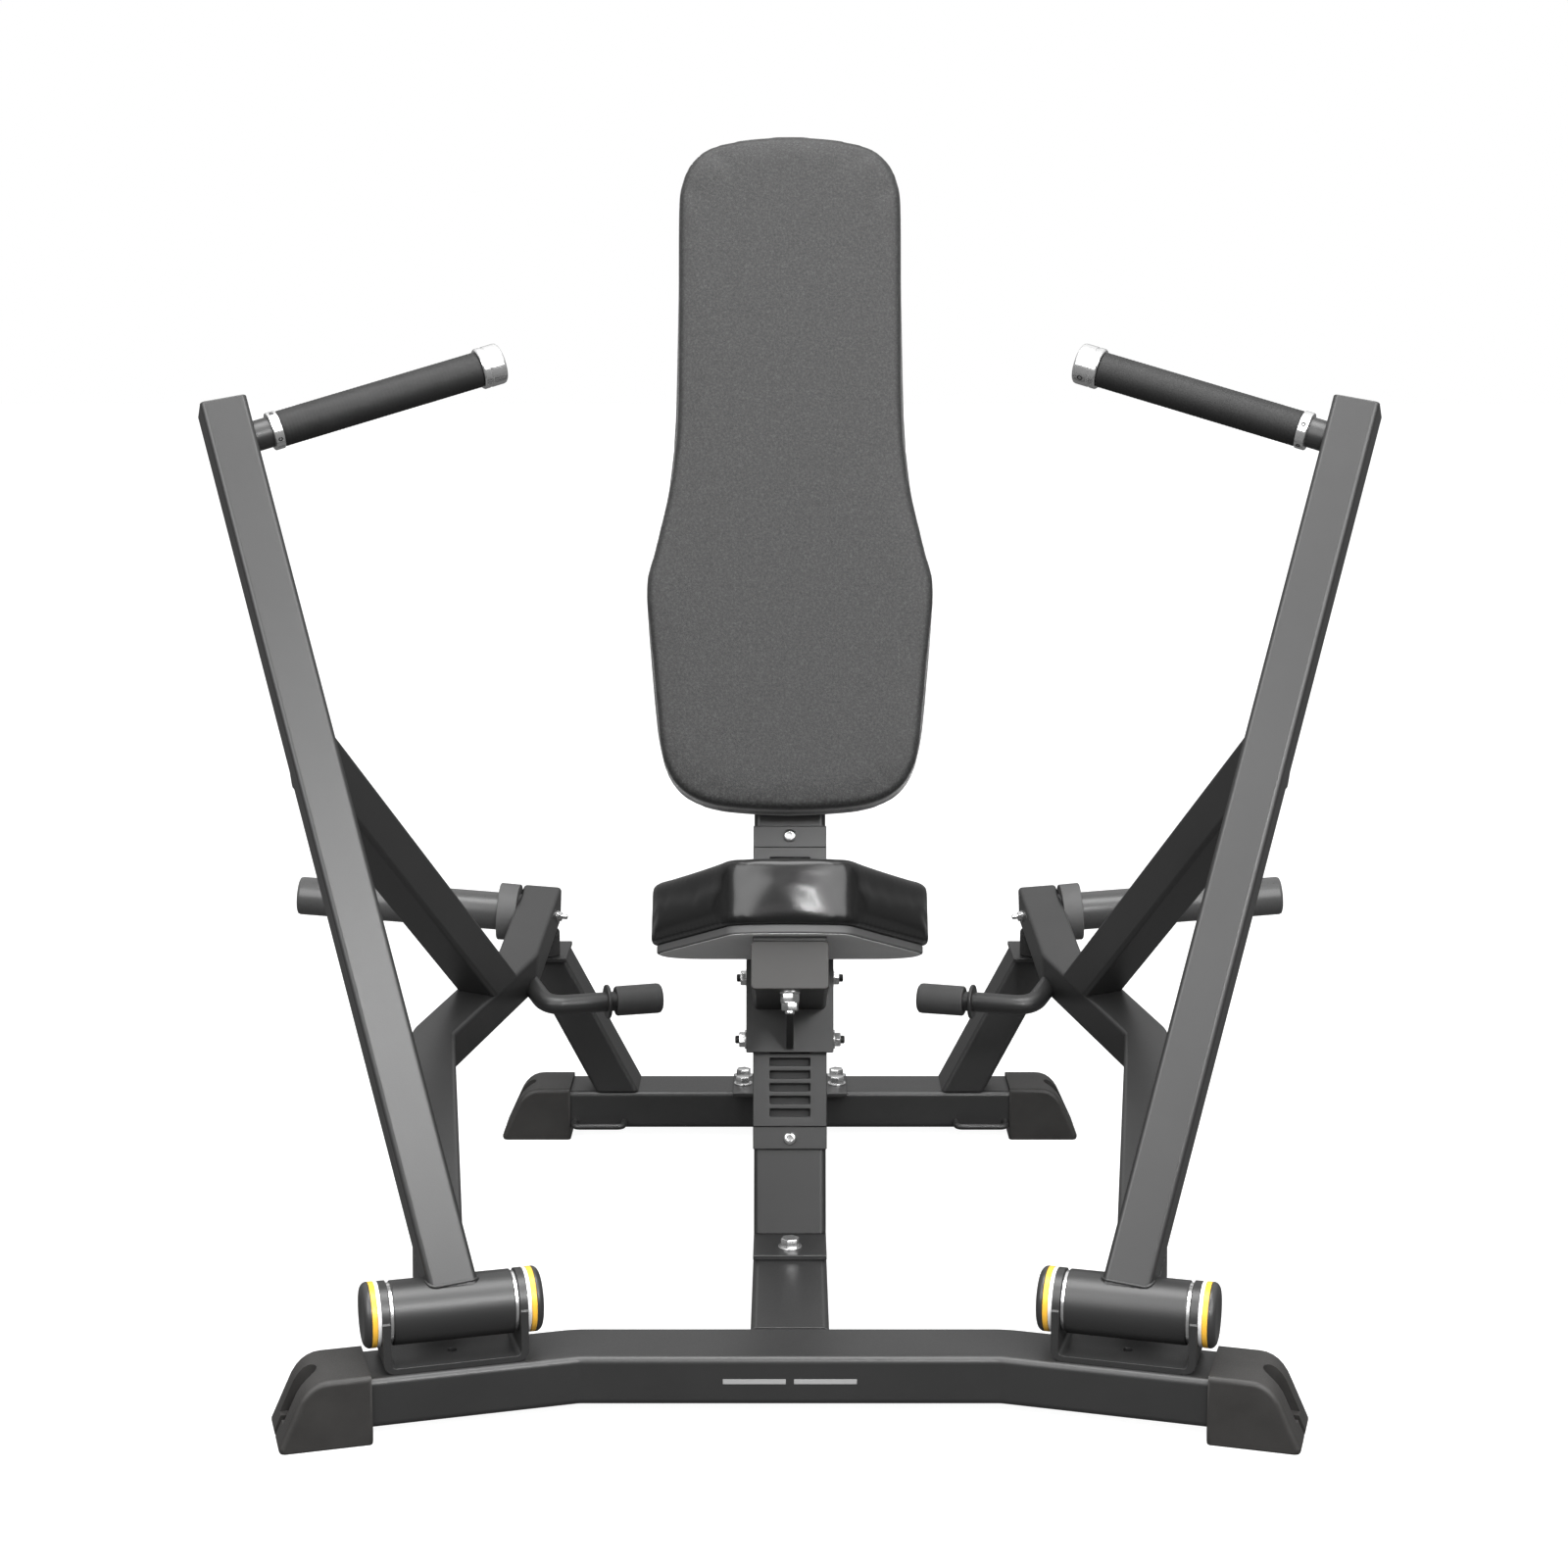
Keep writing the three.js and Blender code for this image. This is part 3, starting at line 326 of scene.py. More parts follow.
def put(name, bm, mat, body, nodes=(), bevel=0.0, segments=3, angle=42, sharp=36, flat=True):
    """Makes a piece from a mesh in millimetres and lets it ride on a body."""
    bmesh.ops.recalc_face_normals(bm, faces=bm.faces)
    bmesh.ops.scale(bm, vec=(MM, MM, MM), verts=bm.verts)
    mesh = bpy.data.meshes.new(name)
    bm.to_mesh(mesh)
    bm.free()
    mesh.shade_smooth()
    mesh.set_sharp_from_angle(angle=math.radians(sharp))
    mesh.materials.append(mat)
    obj = bpy.data.objects.new(name, mesh)
    bpy.context.scene.collection.objects.link(obj)
    if bevel:
        m = obj.modifiers.new("edges", "BEVEL")
        m.width = bevel * MM
        m.segments = segments
        m.limit_method = "ANGLE"
        m.angle_limit = math.radians(angle)
        m.miter_outer = "MITER_ARC"
    if flat:
        w = obj.modifiers.new("normals", "WEIGHTED_NORMAL")
        w.keep_sharp = True
        w.weight = 70
    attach(obj, body)
    if nodes:
        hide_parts(*nodes)
    return obj


def section(w, h, r, n=6):
    corners = (
        (w / 2 - r, -h / 2 + r, -90),
        (w / 2 - r, h / 2 - r, 0),
        (-w / 2 + r, h / 2 - r, 90),
        (-w / 2 + r, -h / 2 + r, 180),
    )
    out = []
    for cx, cy, start in corners:
        for i in range(n + 1):
            a = math.radians(start + 90 * i / n)
            out.append((cx + r * math.cos(a), cy + r * math.sin(a)))
    return out


def skin(bm, rings, closed_ends=True, loop=False):
    """Faces between rings of vertices, and over the two ends."""
    pairs = list(zip(rings, rings[1:])) + ([(rings[-1], rings[0])] if loop else [])
    for a, b in pairs:
        if len(a) == 1 or len(b) == 1:
            many, one = (b, a[0]) if len(a) == 1 else (a, b[0])
            for j in range(len(many)):
                bm.faces.new((many[j], many[(j + 1) % len(many)], one))
        else:
            for j in range(len(a)):
                k = (j + 1) % len(a)
                bm.faces.new((a[j], a[k], b[k], b[j]))
    if closed_ends and not loop:
        for r in (rings[0], rings[-1]):
            if len(r) > 2:
                bm.faces.new(r)


def fillet(path, radius, n=6):
    """Rounds the inner corners of a path."""
    out = [path[0]]
    for a, p, b in zip(path, path[1:], path[2:]):
        d0, d1 = (p - a).normalized(), (b - p).normalized()
        t = radius * math.tan(d0.angle(d1) / 2)
        start, end = p - d0 * t, p + d1 * t
        for i in range(n + 1):
            u = i / n
            out.append(start * (1 - u) ** 2 + p * 2 * u * (1 - u) + end * u * u)
    return out + [path[-1]]


def sweep(path, normal, w, h, r, n=6):
    """A solid box section tube along a path that lies square to the normal."""
    bm = bmesh.new()
    normal = normal.normalized()
    shape = section(w, h, r, n)
    rings = []
    for i, p in enumerate(path):
        d0 = (p - path[i - 1]).normalized() if i else (path[1] - p).normalized()
        d1 = (path[i + 1] - p).normalized() if i < len(path) - 1 else d0
        s0, s1 = d0.cross(normal).normalized(), d1.cross(normal).normalized()
        m = (s0 + s1).normalized()
        k = 1 / m.dot(s0)
        rings.append([bm.verts.new(p + m * (a * k) + normal * b) for a, b in shape])
    skin(bm, rings)
    return bm


def tube(p, q, hint, w, h, r, n=6):
    """A straight solid box section tube: w along the hint, h across it."""
    d = (q - p).normalized()
    x = (hint - d * hint.dot(d)).normalized()
    return sweep([p, q], x.cross(d), w, h, r, n)


def cut(bm, point, keep):
    """Cuts everything away on the far side of a plane, and closes the cut."""
    geom = bm.verts[:] + bm.edges[:] + bm.faces[:]
    res = bmesh.ops.bisect_plane(bm, geom=geom, plane_co=point, plane_no=-keep, clear_outer=True)
    edges = [e for e in res["geom_cut"] if isinstance(e, bmesh.types.BMEdge)]
    if edges:
        bmesh.ops.edgeloop_fill(bm, edges=edges)
    return bm


def turn(profile, frame_, n=64, bm=None, phase=0.0):
    """A turned shape from (radius, height) pairs about the frame's Z."""
    bm = bm or bmesh.new()
    loop = profile[0] == profile[-1]
    rings = []
    for r, z in profile[:-1] if loop else profile:
        if r < 1e-6:
            rings.append([bm.verts.new(frame_ @ V(0, 0, z))])
        else:
            rings.append(
                [
                    bm.verts.new(frame_ @ V(r * math.cos(a), r * math.sin(a), z))
                    for a in (phase + 2 * math.pi * j / n for j in range(n))
                ]
            )
    skin(bm, rings, loop=loop)
    return bm


def slab(outline, z0, z1, frame_, bm=None):
    """A flat plate of an outline of (x, y) pairs."""
    bm = bm or bmesh.new()
    rings = [[bm.verts.new(frame_ @ V(x, y, z)) for x, y in outline] for z in (z0, z1)]
    skin(bm, rings)
    return bm


def box_outline(x0, x1, y0, y1):
    return [(x0, y0), (x1, y0), (x1, y1), (x0, y1)]


def hexagon(bm, frame_, across, height, phase=0.0):
    """A hex head or nut with its corners turned down at the top."""
    r = across / math.sqrt(3)
    rings = []
    for scale, z in ((1, 0), (1, height - 1.1), (0.93, height - 0.2), (0.86, height)):
        rings.append(
            [
                bm.verts.new(frame_ @ V(r * scale * math.cos(a), r * scale * math.sin(a), z))
                for a in (phase + math.pi * j / 3 for j in range(6))
            ]
        )
    skin(bm, rings)
    return bm


def bolt_head(bm, frame_, across, height, washer=0.0, phase=0.0):
    """A hex bolt head on a washer."""
    t = 0.0
    if washer:
        t = 2.2
        turn([(0, 0), (washer, 0), (washer, t), (0, t)], frame_, 40, bm)
    hexagon(bm, frame_ @ Matrix.Translation((0, 0, t)), across, height, phase)
    return bm


def button_screw(bm, frame_, radius, height):
    """A domed socket screw with a hexagon recess."""
    prof = [(0, 0), (radius, 0), (radius, height * 0.25)]
    for i in range(1, 7):
        a = math.pi / 2 * i / 6
        prof.append((radius * (0.52 + 0.48 * math.cos(a)), height * (0.25 + 0.75 * math.sin(a))))
    prof += [(radius * 0.44, height), (radius * 0.4, height * 0.45), (0, height * 0.4)]
    return turn(prof, frame_, 36, bm)


def weld_bead(name, loop, body, radius=2.2, closed=True, mat=None):
    """A rippled weld bead along a loop of points."""
    points = []
    count = len(loop)
    steps = count if closed else count - 1
    for i in range(steps):
        a, b = loop[i], loop[(i + 1) % count]
        n = max(1, int((b - a).length / 2.6))
        points += [a.lerp(b, j / n) for j in range(n)]
    if not closed:
        points.append(loop[-1])
    bm = bmesh.new()
    rings = []
    total = len(points)
    for i, p in enumerate(points):
        before = points[i - 1] if closed or i else p
        after = points[(i + 1) % total] if closed or i < total - 1 else p
        d = (after - before).normalized()
        side = d.cross(Z) if abs(d.z) < 0.9 else d.cross(X)
        side.normalize()
        up = side.cross(d)
        r = radius * (1 + 0.16 * math.sin(i * 2.1) + 0.1 * noise.noise(p * 0.2))
        turns = [k * math.pi / 4 for k in range(8)]
        rings.append([bm.verts.new(p + (side * math.cos(t) + up * math.sin(t)) * r) for t in turns])
    skin(bm, rings, loop=closed)
    return put(name, bm, mat or FRAME, body, flat=False, sharp=80)


def refined(node, name, mat, body, bevel=0.8, segments=2, angle=40, sharp=33):
    """A copy of a CAD solid with clean flat faces and softened edges, which stands for it."""
    bm = bmesh.new()
    bm.from_mesh(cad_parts[node].data)
    bmesh.ops.remove_doubles(bm, verts=bm.verts, dist=1e-5)
    bmesh.ops.dissolve_limit(bm, angle_limit=math.radians(0.6), verts=bm.verts, edges=bm.edges)
    bmesh.ops.scale(bm, vec=(1000, 1000, 1000), verts=bm.verts)
    return put(name, bm, mat, body, (node,), bevel, segments, angle, sharp)


# ------------------------------------------------------------------ base


def build_base():
    bend = V(207.6 + 40 * math.tan(WING / 2), 40 + FRONT_FACE_Y, 40)
    line = [wing(-1, 245, 40, 40), V(-bend.x, bend.y, bend.z), bend, wing(1, 245, 40, 40)]
    base = sweep(fillet(line, 60), Z, 80, 50, 7)
    put("front_base_beam", base, FRAME, "frame", ("front_base_tube",), 1.0)

    mark = bmesh.new()
    for x0, x1 in ((-66, -4), (4, 66)):
        face = basis(X, Z, -Y, V(0, FRONT_FACE_Y, 0))
        slab(box_outline(x0, x1, 37.5, 42.5), -0.4, 0.35, face, mark)
    put("front_mark", mark, MARK, "frame", bevel=0.2)

    rear_y = 945 + FRONT_FACE_Y
    rear = tube(V(-333, rear_y, 40), V(333, rear_y, 40), Y, 80, 50, 7)
    put("rear_base_beam", rear, FRAME, "frame", ("rear_base_tube",), 1.0)

    rail = tube(V(0, 79 + FRONT_FACE_Y, 40), V(0, 905.5 + FRONT_FACE_Y, 40), X, 80, 50, 7)
    put("centre_rail", rail, FRAME, "frame", ("main_rail",), 0.5)

    sole = box_outline(-75, 75, 879 + FRONT_FACE_Y, 971 + FRONT_FACE_Y)
    plate = slab(sole, *FLAT_PLATE, Matrix.Identity(4))
    put("rear_joint_flange", plate, FRAME, "frame", ("rear_joint_plate",), 1.4)
    bolts = bmesh.new()
    for x in (-62, 62):
        for y in (921, 957):
            bolt_head(bolts, Matrix.Translation((x, y + FRONT_FACE_Y, 71.2)), 17, 8.5, 12, phase=0.4 * x)
    put("rear_joint_bolts", bolts, ZINC, "frame", bevel=0.4, flat=False)

    for side, label in ((-1, "left"), (1, "right")):
        for end in ("front", "rear"):
            node = f"{end}_{label}_boot"
            refined(node, f"{node}_cover", BOOT, "frame", 2.4, 3, 35, 40)
        y0, y1 = 905 + FRONT_FACE_Y, 883 + FRONT_FACE_Y
        path = [V(side * 219, y0, 24), V(side * 219, y1, 24), V(side * 284, y1, 24), V(side * 284, y0, 24)]
        loop = sweep(fillet(path, 9, 8), Z, 8, 8, 4, 5)
        put(f"{label}_hook_loop", loop, FRAME, "frame", (f"{label}_rod_loop",))


def build_post():
    post = tube(on_post(0, -25, -40), on_post(0, -25, 1150), X, 80, 50, 7)
    cut(post, V(0, 0, 71.2), Z)
    put("post_tube", post, FRAME, "frame", ("post",), 1.2)
    sole = box_outline(-40, 40, 271 + FRONT_FACE_Y, 430 + FRONT_FACE_Y)
    foot = slab(sole, *FLAT_PLATE, Matrix.Identity(4))
    put("post_foot_flange", foot, FRAME, "frame", bevel=1.2)
    bolts = bmesh.new()
    for y in (296, 412):
        bolt_head(bolts, Matrix.Translation((0, y + FRONT_FACE_Y, 71.2)), 18, 9, 13, phase=0.3)
    put("post_foot_bolts", bolts, ZINC, "frame", bevel=0.4, flat=False)
    top = on_post(0, -50, 700)
    bottom = V(0, 830 + FRONT_FACE_Y, BASE_TOP)
    way = (top - bottom).normalized()
    strut = tube(bottom - way * 60, top + way * 60, X, 50, 50, 6)
    cut(strut, V(0, 0, 65.2), Z)
    cut(strut, on_post(0, -50.1, 0), -POST_OUT)
    put("rear_strut_tube", strut, FRAME, "frame", ("rear_strut",), 0.8)

    ups = [100, 125]
    for i in range(21):
        ups += [136 + 14 * i, 144.4 + 14 * i]
    ups += [436, 460]

    def level(i, j):
        across, mid = (i == 2), ups[j]
        if mid in (100, 436):
            return 6.3
        if across and j >= 2 and j % 2 == 0:
            return None
        return 10.0

    rack = relief([-41, -31, -22.5, 22.5, 31, 41], ups, level, 0.3, POST_FRAME)
    # A thin near-black sheet behind the rack slots: painted shadow in the open slots.
    back = slab(box_outline(-22.3, 22.3, 134, 428), 0.05, 0.28, POST_FRAME)
    put("rack_slot_shadow", back, DARK, "frame", bevel=0.05)
    put("seat_rack_plate", rack, FRAME, "frame", ("seat_rack",), 0.8, 2)
    screws = bmesh.new()
    for up in (112, 449):
        button_screw(screws, POST_FRAME @ Matrix.Translation((0, up, 6.2)), 7.4, 4.6)
    put("rack_screws", screws, ZINC, "frame", bevel=0.3, flat=False)


# ------------------------------------------------------------------ seat carriage


def build_carriage():
    refined("seat_carriage", "carriage_sleeve", FRAME, "seat", 1.3, 3)
    start, back = on_seat(0, 0, -25), on_seat(0, -330, -25)
    arm = tube(start - SEAT_OUT * 4.6, back, X, 80, 50, 5)
    front = on_post(0, 26.2, 0)
    cut(arm, front, POST_OUT)
    put("seat_arm_tube", arm, FRAME, "seat", ("seat_arm",), 0.5)
    cap = slab(section(80, 50, 4.5, 6), -4.2, 0, along(start, start + SEAT_OUT, X))
    put("seat_arm_end_cap", cap, SEAT_CAP, "seat", bevel=1.2)
    plate = slab(box_outline(-38, 38, -200, -2), -0.4, 5.2, SEAT_FRAME)
    put("seat_mounting_plate", plate, FRAME, "seat", bevel=1.0)

    def under(out):
        d = on_seat(0, out, -48) - POST_FOOT
        return (d.dot(POST_OUT), d.dot(POST_UP))

    web_frame = basis(POST_OUT, POST_UP, POST_OUT.cross(POST_UP), POST_FOOT)
    web = slab([(26.1, 211), (38, 211), under(-100), under(-260)], -4, 4, web_frame)
    cut(web, on_post(0, 26.1, 0), POST_OUT)
    put("seat_arm_gusset", web, FRAME, "seat", bevel=0.8)

    nuts = bmesh.new()
    place = SEAT_FRAME @ Matrix.Translation((0, -24, -50)) @ Matrix.Rotation(math.pi, 4, "X")
    turn([(0, -1), (10.6, -1), (10.6, 1.6), (9.6, 2.6), (0, 2.6)], place, 40, nuts)
    hexagon(nuts, place @ Matrix.Translation((0, 0, 2.6)), 17.5, 8.6, 0.25)
    turn([(0, 11), (9.4, 11), (9.4, 12.4), (0, 12.4)], place, 40, nuts)
    hexagon(nuts, place @ Matrix.Translation((0, 0, 12.4)), 16, 7.6, 0.7)
    turn([(0, 18), (5, 18), (5, 22.4), (4, 23.4), (0, 23.4)], place, 24, nuts)
    put("seat_bolt_nuts", nuts, ZINC, "seat", bevel=0.35, flat=False)

    for name, up, out, node in (("upper", 292, -62, "carriage_axle"), ("lower", 221, 15, "carriage_pin")):
        bright, dark = bmesh.new(), bmesh.new()
        for side in (-1, 1):
            at = on_post(side * 48.2, out, up)
            f = along(at, at + X * side, POST_UP)
            turn([(0, 0), (10.5, 0), (10.5, 1.8), (0, 1.8)], f, 36, bright)
            hexagon(bright, f @ Matrix.Translation((0, 0, 1.8)), 15, 6.4, 0.35 + 0.2 * side)
            turn([(0, 8), (4.4, 8), (4.4, 11.6), (3.4, 12.6), (0, 12.6)], f, 24, dark)
        put(f"carriage_{name}_nuts", bright, ZINC, "seat", (node,), bevel=0.35, flat=False)
        put(f"carriage_{name}_bolt_tips", dark, DARK, "seat", bevel=0.3, flat=False)


# ------------------------------------------------------------------ arms


def build_arm(label, side):
    body = f"{label}_arm"
    inward = -side
    centre = wing(side, 118.6, 40, 115.6)
    pivot = Matrix.Translation(centre) @ Matrix.Rotation(-side * WING, 4, "Z")
    turned_out = pivot @ Matrix.Rotation(side * math.pi / 2, 4, "Y")
    spin = pivot.to_3x3()

    # bracket, shaft, bearings, caps
    def channel_ring(y, top):
        rings = []
        for x1, z1, r in ((71, -50.4, 11), (63.5, -44.6, 5)):
            bend = [-math.pi / 2 * i / 6 for i in range(7)]
            corner = [(x1 - r + r * math.cos(t), z1 + r + r * math.sin(t)) for t in bend]
            half = [(x1, top)] + corner
            rings.append(half + [(-x, z) for x, z in reversed(half)])
        return [[channel.verts.new(pivot @ V(x, y, z)) for x, z in r] for r in rings]

    channel = bmesh.new()
    crown = [math.radians(-88 + 8 * i) for i in range(23)]
    crown = [(32 * math.sin(t), 32 * math.cos(t)) for t in crown]
    slices = [channel_ring(y, t) for y, t in [(-34, 0), *crown, (36, 0)]]
    skin(channel, [a + b[::-1] for a, b in slices], closed_ends=False)
    for a, b in (slices[0], slices[-1]):
        for i in range(len(a) - 1):
            channel.faces.new((a[i], a[i + 1], b[i + 1], b[i]))
    bore = turn([(0, -90), (12.6, -90), (12.6, 90), (0, 90)], turned_out, 48)
    turn([(0, -60), (5, -60), (5, -30), (0, -30)], pivot, 32, bore)
    channel = carve(channel, bore)
    put(f"{label}_bracket_channel", channel, FRAME, "frame", (f"{label}_pivot_bracket",), 1.3)
    shaft = turn([(0, -78), (12.4, -78), (12.4, 78), (0, 78)], turned_out, 48)
    put(f"{label}_shaft", shaft, STEEL, "frame", (f"{label}_pivot_shaft",), 0.6)
    for end, way in (("outer", 1), ("inner", -1)):
        f = turned_out if way > 0 else turned_out @ Matrix.Rotation(math.pi, 4, "Y")
        washer = turn([(12.6, 63.2), (12.6, 57), (29.6, 57), (29.6, 63.2), (12.6, 63.2)], f, 72)
        put(f"{label}_{end}_thrust_washer", washer, CHROME, body, (f"{label}_{end}_bearing",), 0.9)
        trim = turn([(13, 71.2), (31.8, 71.2), (31.8, 75), (13, 75), (13, 71.2)], f, 72)
        put(f"{label}_{end}_cap_trim", trim, WHITE_METAL, "frame", bevel=0.5)
        band = turn([(13, 75.2), (32.1, 75.2), (32.1, 80.4), (13, 80.4), (13, 75.2)], f, 72)
        put(f"{label}_{end}_cap_band", band, YELLOW, "frame", bevel=0.5)
        dome = [(0, 80), (12.4, 80), (12.4, 80.6), (32, 80.6), (32.2, 81.2)]
        for i in range(1, 11):
            a = math.pi / 2 * i / 10
            dome.append((24.2 + 8 * math.cos(a), 81.2 + 6.8 * math.sin(a)))
        dome += [(22, 87.6), (18, 86.2), (13, 85.2), (7, 84.7), (0, 84.5)]
        cap = turn(dome, f, 72)
        node = f"{label}_{end}_pivot_cap"
        put(f"{label}_{end}_cap_dome", cap, BLACK_PLASTIC, "frame", (node,), flat=False)

    hub = turn([(26, -59.5), (31.5, -59.5), (31.5, 59.5), (26, 59.5), (26, -59.5)], turned_out, 96)
    put(f"{label}_hub_barrel", hub, FRAME, body, (f"{label}_arm_housing",), 1.2)

    # frames of the upright and the link
    arm_up = V(0, math.sin(ARM_LEAN), math.cos(ARM_LEAN))
    arm_front = V(0, -math.cos(ARM_LEAN), math.sin(ARM_LEAN))
    inn = V(inward, 0, 0)
    tube_up = arm_up * math.cos(ARM_SPREAD) - inn * math.sin(ARM_SPREAD)
    across = inn * math.cos(ARM_SPREAD) + arm_up * math.sin(ARM_SPREAD)
    rise = V(0, -math.sin(LINK_RISE), math.cos(LINK_RISE))
    run = V(0, math.cos(LINK_RISE), math.sin(LINK_RISE))

    def on_arm(s, out, k):
        return pivot @ (V(inward * 4.7, 0, 0) + across * s + arm_front * out + tube_up * k)

    def on_link(a, r, n):
        return pivot @ (V(inward * a, 0, 0) + run * r + rise * n)

    w_across, w_front = spin @ across, spin @ arm_front
    w_rise, w_inn = spin @ rise, spin @ inn

    upright = tube(on_arm(0, 0, -30), on_arm(0, 0, 948), w_across, 48, 50, 5.5)
    cut(upright, centre + Z * 8, Z)
    put(f"{label}_press_arm", upright, FRAME, body, (f"{label}_arm_upright",), 1.2)
    ring = []
    for s, o in section(49, 51, 6.5, 4):
        d = pivot.inverted() @ on_arm(s, o, 0)
        k = 20.0
        while math.hypot((d + tube_up * k).y, (d + tube_up * k).z) < 32.2 and k < 60:
            k += 0.25
        ring.append(on_arm(s, o, k))
    weld_bead(f"{label}_arm_weld", ring, body, 1.5)

    line = [(-9.5, 18), (61.2, 526.6), (196.4, 721.3), (263.3, 913.9)]
    link = sweep(fillet([on_link(a, r, 7) for a, r in line], 34), w_rise, 50, 50, 5.5)
    cut(link, on_arm(0, -25.1, 0), -w_front)
    cut(link, on_arm(-24, 0, 0), w_across)
    put(f"{label}_link_tube", link, FRAME, body, (f"{label}_link",), 1.2)

    top = pivot @ V(inward * -96, 244.6, 511.8)
    foot = pivot @ V(inward * 144.4, 621.9, 164.9)
    way = (foot - top).normalized()
    wide = (X - way * way.x).normalized()
    wide.rotate(Matrix.Rotation(-side * math.radians(12.6), 4, way))
    brace = tube(top - way * 80, foot + way * 80, wide, 50, 50, 5.5)
    cut(brace, on_arm(0, -25.1, 0), -w_front)
    cut(brace, on_arm(-19, 0, 0), w_across)
    cut(brace, on_link(0, 0, 32.1), w_rise)
    put(f"{label}_brace_tube", brace, FRAME, body, (f"{label}_brace",), 0.5)

    # weight horn
    tilt = math.radians(4.6)
    horn_way = V(side * math.cos(tilt), 0, math.sin(tilt))
    horn_at = on_link(216.5, 894, 7)
    hf = along(horn_at, horn_at + horn_way, Z)
    horn = turn([(0, -16), (24.5, -16), (24.5, 270), (23.4, 273), (21, 274), (0, 274)], hf, 72)
    put(f"{label}_plate_horn", horn, HORN, body, (f"{label}_weight_horn",), flat=False, sharp=50)
    collar = turn([(24.6, -15), (36.6, -15), (37, 12), (36, 14), (24.6, 14), (24.6, -15)], hf, 72)
    second = (on_link(263.3, 913.9, 7) - on_link(196.4, 721.3, 7)).normalized()
    side_out = second.cross(w_rise) * side
    face = on_link(263.3, 913.9, 7) + side_out * 25.2
    cut(collar, face, side_out)
    put(f"{label}_horn_stop", collar, COLLAR_RUBBER, body, (f"{label}_horn_collar",), 1.0)
    at = on_link(263.3, 913.9, 7) - second * 36
    f = along(at - side_out * 24.8, at - side_out * 40, Z)
    nut = bolt_head(bmesh.new(), f, 11, 4.5, 7.5)
    turn([(0, 6), (3.2, 6), (3.2, 13), (2.4, 14), (0, 14)], f, 24, nut)
    put(f"{label}_horn_nut", nut, ZINC, body, bevel=0.3, flat=False)

    # handle
    handle_way = spin @ (inn * math.cos(HANDLE_ANGLE) + arm_up * math.sin(HANDLE_ANGLE))
    ref = on_arm(33.4, 0, 910.4)
    g = along(ref, ref + handle_way, Z)
    stub = turn([(0, -14), (15.9, -14), (15.9, 8), (0, 8)], g, 64)
    cut(stub, on_arm(24.1, 0, 0), w_across)
    put(f"{label}_handle_stub", stub, FRAME, body, (f"{label}_handle_bar",), 0.4)
    clamp = turn([(10, 8), (20, 8), (20, 18.4), (10, 18.4), (10, 8)], g, 72)
    put(f"{label}_handle_clamp", clamp, CHROME, body, bevel=1.0)
    dots = bmesh.new()
    dot = [(0, 0), (2.3, 0), (2.3, 0.9), (1.3, 1.0), (1.2, 0.3), (0, 0.3)]
    for a in (-2.45, -1.2, 0.4, 2.0):
        d = (g.to_3x3() @ V(math.cos(a), math.sin(a), 0)).normalized()
        p = g @ V(0, 0, 13.2) + d * 19.4
        turn(dot, along(p, p + d, handle_way), 20, dots)
    put(f"{label}_clamp_set_screws", dots, DARK, body, flat=False)
    grip = [(16, 19), (18.2, 19), (18.8, 20.5)]
    for i in range(54):
        z = 24 + i * 3.95
        grip += [(18.8, z), (18.62, z + 1.2), (18.8, z + 2.4)]
    grip += [(18.8, 238), (18.2, 239.6), (16, 239.6), (16, 19)]
    grip = turn(grip, g, 64)
    put(f"{label}_grip_sleeve", grip, GRIP, body, (f"{label}_grip",), flat=False, sharp=50)
    end = [(0, 240.2), (20.6, 240.2), (21.8, 241.6), (21.8, 247), (20.9, 247.6), (20.9, 249), (21.8, 249.6)]
    end += [(21.8, 262.5), (21.2, 264.6), (19.6, 266), (5, 266), (4.2, 264), (0, 264)]
    put(f"{label}_handle_end", turn(end, g, 72), CHROME, body, (f"{label}_handle_cap",), bevel=0.3)
    p = g @ V(0, 0, 256) + (g.to_3x3() @ V(math.cos(-2.2), math.sin(-2.2), 0)) * 21.4
    d = (g.to_3x3() @ V(math.cos(-2.2), math.sin(-2.2), 0)).normalized()
    hole = turn([(0, 0), (3, 0), (3, 0.7), (2, 0.8), (1.8, 0.2), (0, 0.2)], along(p, p + d, handle_way), 24)
    put(f"{label}_end_set_screw", hole, DARK, body, flat=False)

    # assist peg
    knee = on_link(219, 645, -7)
    root = on_link(209, 716, -7)
    tip = knee + w_inn * 137
    peg = sweep(fillet([root, knee, tip], 28, 12), (knee - root).cross(w_inn), 24, 24, 12, 6)
    put(f"{label}_peg_bar", peg, FRAME, body, (f"{label}_assist_peg",), flat=False, sharp=50)
    pf = along(tip - w_inn * 64, tip, Z)
    flange = turn([(10, 0), (20, 0), (21, 1), (21, 3.4), (20, 4.4), (10, 4.4), (10, 0)], pf, 56)
    put(f"{label}_peg_flange", flange, FRAME, body, bevel=0.4)
    sleeve = [(0, 64.5), (12.2, 64.5), (12.2, 12), (17.2, 12), (18.3, 14)]
    sleeve += [(18.5, 64), (17.8, 67.5), (15, 69.6), (0, 70)]
    put(f"{label}_peg_sleeve", turn(sleeve, pf, 56), RUBBER_TIP, body, (f"{label}_peg_tip",), 0.8)

